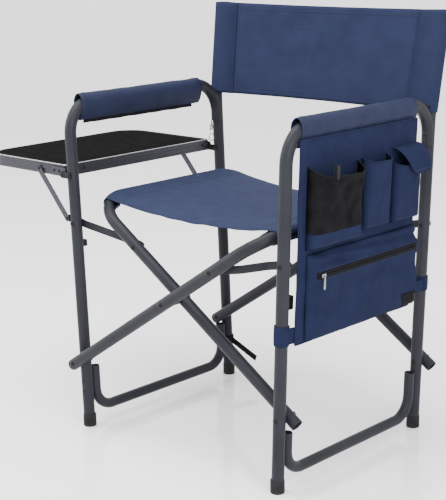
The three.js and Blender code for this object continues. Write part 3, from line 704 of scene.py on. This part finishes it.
for side, hand in FRAMES.items():
    rows = [back_sleeve_row(side, z) for z in even(BACK_LOW, BACK_TOP - 1, 34)]
    sleeve = as_cloth(skin(f"{hand}_back_pocket", rows, back_cloth))
    belongs(sleeve, f"{hand}_frame", "navy_cloth", f"{hand}_back_sleeve")
    spread(rows)

STUD_Z = 702
stud_at = beside(1, 4, reclined(STUD_Z) - POCKET_ROUND + 0.4, STUD_Z)
rivet("right_back_stud", stud_at, AHEAD, bolt_steel, "right_frame", "bolt_steel")

back_rows = []
for z in even(BACK_LOW, BACK_TOP - 1, 30):
    half = leg_x(z) - SEAM_IN + 4
    height = (z - BACK_LOW) / (BACK_TOP - BACK_LOW)
    row = []
    for k in range(49):
        u = k / 48
        slack = 7 * math.sin(math.pi * u) * (0.5 + 0.5 * math.sin(math.pi * height))
        ripple = 1.6 * wander(u * 6, height * 2.2, 9.0)
        ripple += 1.1 * math.exp(-min(u, 1 - u) / 0.07) * math.sin(height * 30)
        drop = 3 * math.sin(math.pi * u) * (height - 0.5) * 1.2
        y = reclined(z) - PANEL_AHEAD + slack + ripple * math.sin(math.pi * u)
        row.append(place(-half + 2 * half * u, y, z - drop))
    back_rows.append(row)
back = as_cloth(skin("back_rest", back_rows, back_cloth))
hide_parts("back_panel")
spread(back_rows)
back_lines = [back_rows[2], back_rows[-3], [row[1] for row in back_rows], [row[-2] for row in back_rows]]
back_stitches = joined([stitching(f"back_stitches_{i}", line, stitch_thread, lift=Vector((0, -0.0008, 0)))
                        for i, line in enumerate(back_lines)])
back_stitches.name = "back_stitches"
for piece in (back, back_stitches):
    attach(piece, "left_frame")
    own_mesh(piece)

# ---- arm pads -------------------------------------------------------------------------------------
# Padded sleeves closed round the arm tube with a strip of hook and loop underneath, so the section
# is a drop: round over the tube, then narrowing to the closed edge below it.
PAD_FRONT = 27
PAD_BACK = 389
PAD_HALF = 17.0
PAD_TOP = 727
PAD_BOTTOM = 668
PAD_FRAMES = 14
PAD_SWELL = 1.6
pad_cloth = woven("navy_pad_weave", (0.0115, 0.0145, 0.035), (0.014, 0.018, 0.042), 0.6, 0.1)


def pad_section(share):
    """Points round the drop, as how far out and how high, from the top round by the outside."""
    ends = min(share, 1 - share)
    close = 1 - 0.16 * math.exp(-ends / 0.015)
    points = []
    for a in full_turn(28):
        height = math.cos(a)
        width = PAD_HALF * (math.sin(a) * (0.80 + 0.20 * height)) * close
        if height < 0:
            width *= 1 - 0.45 * (-height) ** 1.5
        z = (PAD_TOP + PAD_BOTTOM) / 2 + (PAD_TOP - PAD_BOTTOM) / 2 * height * (1 - 0.02 * (1 - close))
        swell = 1 + 0.03 * math.sin(share * 47 + 2 * math.sin(a))
        points.append((width * swell, z))
    return points


def puff_out(piece):
    """Fills the pad by a short cloth simulation with a little air inside, and keeps only its shape."""
    before = [v.co.copy() for v in piece.data.vertices]
    cloth = piece.modifiers.new("filling", "CLOTH")
    cloth.settings.quality = 5
    cloth.settings.use_pressure = True
    cloth.settings.uniform_pressure_force = 3
    cloth.settings.effector_weights.gravity = 0
    cloth.point_cache.frame_start = 1
    cloth.point_cache.frame_end = PAD_FRAMES
    for step in range(1, PAD_FRAMES + 1):
        bpy.context.scene.frame_set(step)
    settled = piece.evaluated_get(bpy.context.evaluated_depsgraph_get())
    moved = [v.co.copy() for v in settled.to_mesh().vertices]
    settled.to_mesh_clear()
    piece.modifiers.remove(cloth)
    bpy.context.scene.frame_set(1)
    cap = PAD_SWELL * MM
    for vertex, old, new in zip(piece.data.vertices, before, moved):
        shift = new - old
        vertex.co = old + (shift if shift.length < cap else shift.normalized() * cap)


for side, hand in FRAMES.items():
    rows = []
    for i in range(73):
        share = i / 72
        y = PAD_FRONT + (PAD_BACK - PAD_FRONT) * share
        crease = 0.9 * wander(share * 9, side * 3, 0.5)
        rows.append([beside(side, side * out + crease * 0.5, y, z + crease)
                     for out, z in pad_section(share)])
    pad = skin(f"{hand}_arm_sleeve", rows, pad_cloth, ring=True)
    puff_out(pad)
    as_cloth(pad, 1.6)
    belongs(pad, f"{hand}_frame", "navy_cloth", f"{hand}_arm_pad")
    hems = [stitching(f"{hand}_hem_{i}", rows[i] + rows[i][:1], stitch_thread) for i in (3, -4)]
    belongs(joined(hems), f"{hand}_frame", "navy_cloth")

webbing, tree, shader = dress("black_tape", (0.005, 0.005, 0.006), 0.85, shine=0.08)
vary_colour(tree, shader, grain(tree, 200.0), (0.004, 0.004, 0.0045), (0.008, 0.008, 0.009))
raise_surface(tree, shader, grain(tree, 1300.0, 2.0), 0.5, 0.0004)

CLOSURE_SHOWS = 5.5
CLOSURE_FRONT, CLOSURE_BACK = PAD_FRONT + 12, PAD_BACK - 22
closure_rows = []
for i in range(41):
    y = CLOSURE_FRONT + (CLOSURE_BACK - CLOSURE_FRONT) * i / 40
    bow = 0.8 * math.sin(i * 0.9)
    row = []
    for k, out in enumerate((0.0, 0.4, 0.5, 0.3, 0.0)):
        up = PAD_BOTTOM - CLOSURE_SHOWS + (CLOSURE_SHOWS + 2) * k / 4 + bow * (4 - k) / 8
        row.append(beside(-1, 0.6 * math.sin(i * 0.5) + out, y, up))
    closure_rows.append(row)
closure = as_cloth(skin("left_arm_hook_and_loop", closure_rows, webbing), 2.2)
belongs(closure, "left_frame", "black_webbing", "left_arm_closure")

# ---- organiser bag: back panel --------------------------------------------------------------------
# A doubled panel of the navy weave hung from the right arm, bound round its edge, with the pockets
# sewn to its outside face.
BAG_FACE = 21
BAG_FRONT = 18
BAG_BACK = 380
BAG_TOP = 686
BAG_BOTTOM = 300
bag_cloth = woven("navy_bag_weave", (0.009, 0.0118, 0.031), (0.0112, 0.0145, 0.0375))


def on_bag(out, y, up):
    return beside(1, out, y, up)


def panel_out(y, up):
    low = (BAG_TOP - up) / (BAG_TOP - BAG_BOTTOM)
    return BAG_FACE - 2.6 + 2.2 * wander(y * 0.02, up * 0.016, 3.0) * min(1, 2 * low)


panel_rows = []
for i in range(61):
    up = BAG_BOTTOM + (BAG_TOP - BAG_BOTTOM) * i / 60
    droop = 2.0 * (1 - i / 60)
    panel_rows.append([on_bag(panel_out(y, up), y, up - droop * (y - BAG_FRONT) / (BAG_BACK - BAG_FRONT))
                       for y in even(BAG_FRONT, BAG_BACK, 48)])
panel = as_cloth(skin("bag_back_panel", panel_rows, bag_cloth), 3.4)
belongs(panel, "right_frame", "navy_cloth", "bag_panel")
spread(panel_rows)


def cord_along(name, line, width, material, closed=False):
    """A thin round edge binding or piping along a line."""
    return tube(name, line + (line[:1] if closed else []), width, material, wall=width / 2 - 0.05, sides=10)


edge_line = panel_rows[0] + [row[-1] for row in panel_rows][1:-1] + panel_rows[-1][::-1]
edge_line += [row[0] for row in panel_rows][::-1][1:-1]
belongs(cord_along("bag_edge_binding", edge_line, 4.4, bag_cloth, closed=True), "right_frame", "navy_cloth")

# ---- bag: upper pockets ---------------------------------------------------------------------------
# Three bellows pockets in a row: a wide one of black open mesh, a narrow one for pens and one with a
# flap, each with a bound rim and rounded gussets down its sides.
mesh_cloth, tree, shader = dress("black_open_mesh", (0.006, 0.006, 0.007), 0.6, shine=0.02)
where = tree.nodes.new("ShaderNodeTexCoord")
cells = tree.nodes.new("ShaderNodeTexVoronoi")
cells.feature = "DISTANCE_TO_EDGE"
cells.inputs["Scale"].default_value = 420
tree.links.new(where.outputs["Object"], cells.inputs["Vector"])
vary_colour(tree, shader, grain(tree, 40.0), (0.004, 0.004, 0.005), (0.008, 0.008, 0.009))
raise_surface(tree, shader, cells.outputs["Distance"], 0.7, 0.0008)


def quarter(share):
    """Rises from 0 to 1 as a quarter circle does."""
    return math.sqrt(max(1 - (1 - min(max(share, 0), 1)) ** 2, 0))


def bellows(name, front, back, low, high, slope, dip, rim_depth, foot_depth, material, crumple, seed):
    """A pocket that stands off the panel, boxed at its foot, its mouth round and tipped outward."""
    rows = []
    tall = 30
    for i in range(tall + 1):
        h = i / tall
        depth = (foot_depth + (rim_depth - foot_depth) * h) * quarter(h / 0.06)
        row = []
        for k in range(49):
            s = k / 48
            belly = quarter(min(s, 1 - s) / (0.07 + 0.19 * h))
            up = low + (high - low) * h - slope * s * h - dip * belly * h ** 3
            fold = crumple * wander(s * 7 + seed, h * 5, seed) * belly * (0.3 + 0.7 * h)
            fold += 0.3 * crumple * math.sin(s * 19 + h * 8 + seed) * belly * h
            fold -= 0.5 * crumple * math.exp(-((s - 0.55 + 0.5 * (h - 0.5)) / 0.035) ** 2) * belly * h
            out = BAG_FACE + 0.6 + max(depth * belly + fold, 0.2 * belly)
            row.append(on_bag(out, front + (back - front) * s, up))
        rows.append(row)
    pocket = as_cloth(skin(name, rows, material), 1.1)
    spread(rows)
    return pocket, rows


MESH_BAND = 30
UPPER = [
    ("mesh_bellows", "mesh_pocket", "black_mesh", mesh_cloth, 36, 186, 480, 637, 8, 17, 33, 20, 4.5, 1.7),
    ("middle_bellows", "middle_pocket", "navy_cloth", bag_cloth, 198, 278, 490, 632, 2, 8, 25, 17, 1.4, 5.1),
    ("flap_bellows", "flap_pocket", "navy_cloth", bag_cloth, 292, 376, 489, 612, 2, 8, 26, 17, 1.3, 8.4),
]
for name, node, slot, cloth, front, back, low, high, slope, dip, rim, foot, crumple, seed in UPPER:
    pocket, rows = bellows(name, front, back, low, high, slope, dip, rim, foot, cloth, crumple, seed)
    belongs(pocket, "right_frame", slot, node)
    trim = webbing if slot == "black_mesh" else bag_cloth
    belongs(cord_along(f"{name}_rim", rows[-1], 3.4, trim), "right_frame", slot)
    if slot == "black_mesh":
        pocket.data.materials.append(bag_cloth)
        for face in pocket.data.polygons:
            face.material_index = 1 if face.center.z < place(0, 0, low + MESH_BAND).z else 0
        band = cord_along(f"{name}_band_seam", rows[6][2:-2], 1.6, bag_cloth)
        belongs(band, "right_frame", "navy_cloth")
    foot_seam = stitching(f"{name}_stitches", rows[2][3:-3], stitch_thread, lift=Vector((0.0008, 0, 0)))
    belongs(foot_seam, "right_frame", "navy_cloth")

# ---- bag: pocket flap -----------------------------------------------------------------------------
# A stiffened flap hinged along its seam. It rolls out over the pocket and down, and lies askew, its
# loose edge narrower and further back, with round corners.
FLAP_OUT, FLAP_UP = BAG_FACE + 2.5, 640
FLAP_ROLL = [(0.5, 0.6), (8, -1), (15, -4.5), (21, -10.5), (26, -18.5), (29.5, -28), (31.5, -37),
             (32.4, -46), (33, -54)]
flap_rows = []
for i, (out, up) in enumerate(FLAP_ROLL):
    down = i / (len(FLAP_ROLL) - 1)
    flap_front, flap_back = 291 + 34 * down ** 1.4, 378 + 8 * down
    row = []
    for k in range(25):
        s = k / 24
        corner = 11 * (1 - quarter(min(s, 1 - s) / 0.22)) * down ** 3
        curl = 1.5 * math.sin(math.pi * s) * down
        along = flap_front + (flap_back - flap_front) * s
        row.append(on_bag(FLAP_OUT + out + curl, along, FLAP_UP + up + corner))
    flap_rows.append(row)
flap = as_cloth(skin("bag_flap", flap_rows, bag_cloth), 1.8)
softer = flap.modifiers.new("soft_folds", "SUBSURF")
softer.levels = softer.render_levels = 1
belongs(flap, "pocket_flap", "navy_cloth", "pocket_flap")
spread(flap_rows)
belongs(stitching("bag_flap_stitches", flap_rows[-2][2:-2], stitch_thread, lift=Vector((0.0012, 0, 0))),
        "pocket_flap", "navy_cloth")

# ---- bag: zip pocket ------------------------------------------------------------------------------
# A wide flat pocket of the bag cloth with a gusset along its top, closed by a coil zip set in a black
# tape with a plated slider and pull. A plain black tag is sewn to its lower corner.
ZIP_FRONT, ZIP_BACK, ZIP_LOW, ZIP_HIGH, ZIP_DEPTH = 40, 384, 302, 470, 16.2
ZIP_Z = 430


def zip_pocket_out(y, up):
    s = min((y - ZIP_FRONT) / 16, (ZIP_BACK - y) / 6)
    h = min((up - ZIP_LOW) / 12, (ZIP_HIGH - up) / 26)
    away = quarter((abs(up - ZIP_Z) - 12) / 20)
    dent = 7.0 * wander(y * 0.016 + up * 0.010, up * 0.026, 6.0) - 3.0
    dent += 1.8 * math.exp(-((y - 205 - 1.3 * (up - 350)) / 9) ** 2) * (1 if up < ZIP_Z else 0)
    if up > ZIP_Z:
        dent += 3.4 * math.sin(up * 0.30 + y * 0.02) - 3.0
    return BAG_FACE + 0.6 + (ZIP_DEPTH + dent * away) * min(max(s, 0), 1) ** 0.8 * quarter(h)


zip_rows = [[on_bag(zip_pocket_out(y, up), y, up) for y in even(ZIP_FRONT, ZIP_BACK, 90)]
            for up in even(ZIP_LOW, ZIP_HIGH, 56)]
zip_pouch = as_cloth(skin("zip_pouch", zip_rows, bag_cloth), 1.0)
belongs(zip_pouch, "right_frame", "navy_cloth", "zip_pocket")
spread(zip_rows)

tape_y = even(ZIP_FRONT + 14, ZIP_BACK - 14, 80)
tape_rows = [[on_bag(zip_pocket_out(y, ZIP_Z) + 0.9, y, ZIP_Z + up) for y in tape_y]
             for up in (-6.5, -3, 0, 3, 6.5)]
belongs(as_cloth(skin("zip_webbing", tape_rows, webbing), 0.8), "right_frame", "black_webbing", "zip_tape")
coil_line = [on_bag(zip_pocket_out(y, ZIP_Z) + 1.6, y, ZIP_Z) for y in tape_y]
coil = stitching("zip_coil", coil_line, webbing, pitch=1.9, long=1.1, wide=1.5)
belongs(coil, "right_frame", "black_webbing")
for i, offset in enumerate((-8.5, 8.5)):
    line = [on_bag(zip_pocket_out(y, ZIP_Z) + 0.7, y, ZIP_Z + offset) for y in tape_y]
    belongs(stitching(f"zip_stitches_{i}", line, stitch_thread), "right_frame", "navy_cloth")

bright, tree, shader = dress("bright_plate", (0.24, 0.24, 0.25), 0.26, metal=1.0)
vary_gloss(tree, shader, grain(tree, 250.0), 0.16, 0.32)


def rounded_plate(name, corners, thick, material, ease=0.8):
    """A small plate from its outline's corners, thickened along thick, with eased edges."""
    count = len(corners)
    points = corners + [c + thick for c in corners]
    faces = [tuple(range(count))[::-1], tuple(range(count, 2 * count))]
    faces += [(k, (k + 1) % count, count + (k + 1) % count, count + k) for k in range(count)]
    made = bring(name, points, faces, material)
    return ease_edges(made, ease, 3)


SLIDER_Y, SLIDER_OUT = 68, 40.5
PULL_OUT = SLIDER_OUT + 3.4
out_way = on_bag(1, 0, 0) - on_bag(0, 0, 0)
slider_corners = [on_bag(SLIDER_OUT, SLIDER_Y + y, ZIP_Z + up)
                  for y, up in ((-6, -2), (-4, -4), (4, -4), (6, -2.6), (6, 2.6), (4, 4), (-4, 4), (-6, 2))]
runner = rounded_plate("zip_runner", slider_corners, out_way * 3.0, bright)
belongs(runner, "zip_slider", "bright_metal", "zip_slider")
half_pull = [(1.8, -1), (2.6, -12), (3, -24), (1.8, -27)]
pull_corners = [on_bag(PULL_OUT, SLIDER_Y + y, ZIP_Z + up) for y, up in half_pull]
pull_corners += [on_bag(PULL_OUT, SLIDER_Y - y, ZIP_Z + up) for y, up in half_pull[::-1]]
puller = rounded_plate("zip_puller", pull_corners, out_way * 1.6, bright, 0.5)
belongs(puller, "zip_pull", "bright_metal", "zip_pull")

TAG_FRONT, TAG_BACK, TAG_LOW, TAG_HIGH = 336, 377, 307, 333
tag_rows = [[on_bag(zip_pocket_out(y, up) + 1.1, y, up) for y in even(TAG_FRONT, TAG_BACK, 8)]
            for up in even(TAG_LOW, TAG_HIGH, 6)]
belongs(as_cloth(skin("plain_tag", tag_rows, webbing), 0.9), "right_frame", "black_webbing")

# ---- bag: straps and clip -------------------------------------------------------------------------
# Loops of the bag cloth tie its lower corners to leg and post. A moulded black nylon clip hangs by a
# bent rod from the rim of the mesh pocket.
TIES = [("front_tie", "front_bag_strap", 0, 300, 338), ("rear_tie", "rear_bag_strap", DEPTH, 312, 342)]
for name, node, y, low, high in TIES:
    rows = []
    for i in range(9):
        up = low + (high - low) * i / 8
        reach = TUBE / 2 + 1.6 + 0.5 * math.sin(math.pi * i / 8)
        rows.append([on_bag(reach * math.cos(a), y + reach * math.sin(a), up)
                     for a in full_turn(36)])
    loop = as_cloth(skin(name, rows, bag_cloth, ring=True), 1.6)
    belongs(loop, "right_frame", "navy_cloth", node)
    near, far = (3, 22) if y == 0 else (y - 6, 376)
    tab_rows = [[on_bag(12 + 5 * k / 6, near + (far - near) * k / 6, up) for k in range(7)]
                for up in even(low + 3, high - 3, 5)]
    belongs(as_cloth(skin(f"{name}_tab", tab_rows, bag_cloth), 1.6), "right_frame", "navy_cloth")

CLIP_Y = 74
half_clip = [(2.2, 641), (4.6, 637), (4.6, 626), (3.0, 617), (1.4, 614)]
clip_corners = [on_bag(60, CLIP_Y + y, up) for y, up in half_clip]
clip_corners += [on_bag(60, CLIP_Y - y, up) for y, up in half_clip[::-1]]
clip = rounded_plate("rim_clip", clip_corners, out_way * 3.6, black_plastic)
belongs(clip, "right_frame", "black_plastic", "lanyard_clip")
hanger = bent([on_bag(out, CLIP_Y, up) for out, up in ((50, 612), (50, 640), (62, 640), (62, 634))],
              [2.4 * MM] * 2)
hook_over = tube("rim_clip_hanger", hanger, 3.0, black_plastic, wall=1.4, sides=14)
belongs(hook_over, "right_frame", "black_plastic")

# ---- side table -----------------------------------------------------------------------------------
# A black laminate board in a frame of grooved aluminium edging bent round the two outer corners, hung
# on half-round brackets on the left leg and post, and held up by two flat stays pinned to lugs below.
TABLE_INNER, TABLE_OUTER, TABLE_FRONT, TABLE_BACK = -307.5, -582, -8, 436
TABLE_TOP, TABLE_H, TABLE_CORNER = 577, 25, 60
HINGE_X, HINGE_Z = -312, 557
edge_metal, tree, shader = dress("edge_aluminium", (0.045, 0.045, 0.054), 0.42, metal=0.7, shine=0.2)
vary_gloss(tree, shader, grain(tree, 180.0), 0.3, 0.46)
board_finish, tree, shader = dress("black_laminate", (0.007, 0.007, 0.007), 0.7, shine=0.0)
vary_colour(tree, shader, grain(tree, 70.0), (0.006, 0.006, 0.006), (0.009, 0.009, 0.009))
raise_surface(tree, shader, grain(tree, 700.0), 0.15, 0.0003)


def table_line():
    """Points round the table's outline with the way outward at each."""
    line = []
    corners = ((TABLE_OUTER, TABLE_FRONT, TABLE_CORNER, 180), (TABLE_INNER, TABLE_FRONT, 8, 270),
               (TABLE_INNER, TABLE_BACK, 8, 0), (TABLE_OUTER, TABLE_BACK, TABLE_CORNER, 90))
    for x, y, radius, start in corners:
        cx = x + radius * (1 if x == TABLE_OUTER else -1)
        cy = y + radius * (1 if y == TABLE_FRONT else -1)
        for k in range(17):
            a = math.radians(start + 90 * k / 16)
            line.append(((cx + radius * math.cos(a), cy + radius * math.sin(a)), (math.cos(a), math.sin(a))))
    return line


TABLE_LOW = TABLE_TOP - TABLE_H
EDGE_SECTION = [(-3.5, 0), (0, 0), (0, 4.5), (-1.1, 5.3), (-1.1, 10.4), (0, 11.2), (0, 13.8), (-1.1, 14.6),
                (-1.1, 19.7), (0, 20.5), (0, TABLE_H - 0.8), (-0.8, TABLE_H), (-3.5, TABLE_H)]
outline = table_line()
edge_rows = [[place(x + nx * out, y + ny * out, TABLE_LOW + up) for (x, y), (nx, ny) in outline]
             for out, up in EDGE_SECTION]
edging = keep_sharp(skin("table_edging", edge_rows, edge_metal, ring=True, loop=True), 30)
# The top lip of the edging gets a lighter metal than the rest: a painted highlight along the lip.
lip_highlight_metal, tree, shader = dress("painted_highlight_lip", (0.42, 0.42, 0.44), 0.38, metal=0.9)
vary_gloss(tree, shader, grain(tree, 180.0), 0.3, 0.46)
edging.data.materials.append(lip_highlight_metal)
# Painted highlight: faces within 1.2 mm of the table top take the lighter lip metal.
for face in edging.data.polygons:
    face.material_index = 1 if face.center.z > (TABLE_TOP - 1.2) * MM else 0
belongs(edging, "table", "edge_metal", "table_edge")
for i, y in enumerate((46, 412)):
    spot = place(TABLE_INNER, y, TABLE_TOP - 12)
    rivet(f"inner_edge_rivet_{i}", spot, Vector((1, 0, 0)), bolt_steel, "table", "edge_metal")
board_corners = [place(x - nx * 3.8, y - ny * 3.8, TABLE_TOP - 6) for (x, y), (nx, ny) in outline]
board = rounded_plate("table_laminate", board_corners, Vector((0, 0, 4 * MM)), board_finish, 0.4)
belongs(board, "table", "table_board", "table_board")

LEAF_OUTLINE = [(-38, 3), (-35, 0), (4, 0), (7, 3), (7, 16), (4, 19), (-35, 19), (-38, 16)]
for name, y, way in (("front", TABLE_FRONT, -1), ("rear", TABLE_BACK, 1)):
    corners = [place(HINGE_X + x, y + way * CLEAR, TABLE_LOW + up) for x, up in LEAF_OUTLINE]
    plate = rounded_plate(f"{name}_hinge_leaf", corners, Vector((0, way * 2.1 * MM, 0)), edge_metal, 0.4)
    belongs(plate, "table", "edge_metal", f"{name}_hinge_plate")
    for i, x in enumerate((HINGE_X - 30, HINGE_X - 14)):
        spot = place(x, y + way * 2.4, TABLE_LOW + 11)
        rivet(f"{name}_leaf_rivet_{i}", spot, Vector((0, way, 0)), bolt_steel, "table", "edge_metal")

BRACKET_ROUND, BRACKET_END = 7, -285
BRACKETS = {"front": (TABLE_FRONT - 7, TABLE_FRONT - 3.4), "rear": (TABLE_BACK + 3, TABLE_BACK + 5.4)}
half_round = [math.radians(90 + 180 * k / 12) for k in range(13)]
bracket_line = [(HINGE_X + BRACKET_ROUND * math.cos(a), HINGE_Z + BRACKET_ROUND * math.sin(a))
                for a in half_round]
bracket_line += [(BRACKET_END, HINGE_Z - BRACKET_ROUND), (BRACKET_END, HINGE_Z + BRACKET_ROUND)]
for name, (low_y, high_y) in BRACKETS.items():
    corners = [place(x, low_y, z) for x, z in bracket_line]
    thick = Vector((0, (high_y - low_y) * MM, 0))
    bracket = rounded_plate(f"{name}_half_round", corners, thick, black_plastic, 0.5)
    belongs(bracket, "left_frame", "black_plastic", f"{name}_table_bracket")
    for i, x in enumerate((HINGE_X, BRACKET_END - 6)):
        spot = place(x, low_y, HINGE_Z)
        rivet(f"{name}_bracket_rivet_{i}", spot, AHEAD, bolt_steel, "left_frame", "bolt_steel")

STRUT_FOOT, STRUT_HEAD = (-305, 463), (-392, 562)
for which, y in (("front", -10.3), ("rear", 411)):
    foot, head = (place(x, y - 1.2, z) for x, z in (STRUT_FOOT, STRUT_HEAD))
    way = (head - foot).normalized()
    ends = [foot - way * (6.5 * MM), head + way * (6.5 * MM)]
    across = way.cross(BEHIND).normalized()
    bar = flat_bar(f"{which}_stay", ends, across, Vector((0, 2.4 * MM, 0)), 13, edge_metal)
    belongs(bar, f"{which}_strut", "edge_metal", f"{which}_strut")
    for end, spot in (("foot", foot), ("head", head)):
        rivet(f"{which}_stay_{end}_rivet", spot, AHEAD, bolt_steel, f"{which}_strut", "edge_metal")


def refinish(node, material):
    """Keeps a plain piece's shape and gives it this finish."""
    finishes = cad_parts[node].data.materials
    finishes.clear()
    finishes.append(material)


for node in ("front_strut_lug", "rear_strut_lug", "left_leg_knob", "right_leg_knob"):
    refinish(node, black_plastic)

# ---- snap hook and closing strap ------------------------------------------------------------------
# A small plated hook and split ring hang from the left arm's tail. A short black tape is looped round
# the foot of the left post, to tie the chair shut when it is folded.
HOOK_Y = DEPTH - TAIL_STEP - TUBE / 2 - 6
HOOK_LINE = [(0, 622), (2.4, 606), (0, 596), (-4, 602), (-3, 614)]
hook_line = bent([beside(-1, 0, HOOK_Y + y, up) for y, up in HOOK_LINE], [4 * MM, 4 * MM, 3 * MM])
hook = tube("tail_hook", hook_line, 3.0, bright, wall=1.4, sides=14)
belongs(hook, "snap_hook", "bright_metal", "snap_hook")
ring_centre = beside(-1, 0, HOOK_Y - 2, 584)
ring_line = [ring_centre + Vector((0, math.cos(a), math.sin(a))) * (8 * MM)
             for a in (2 * math.pi * k / 40 for k in range(41))]
ring = tube("tail_ring", ring_line, 2.2, bright, wall=1.0, sides=12)
belongs(ring, "split_ring", "bright_metal", "split_ring")
refinish("closure_strap", webbing)
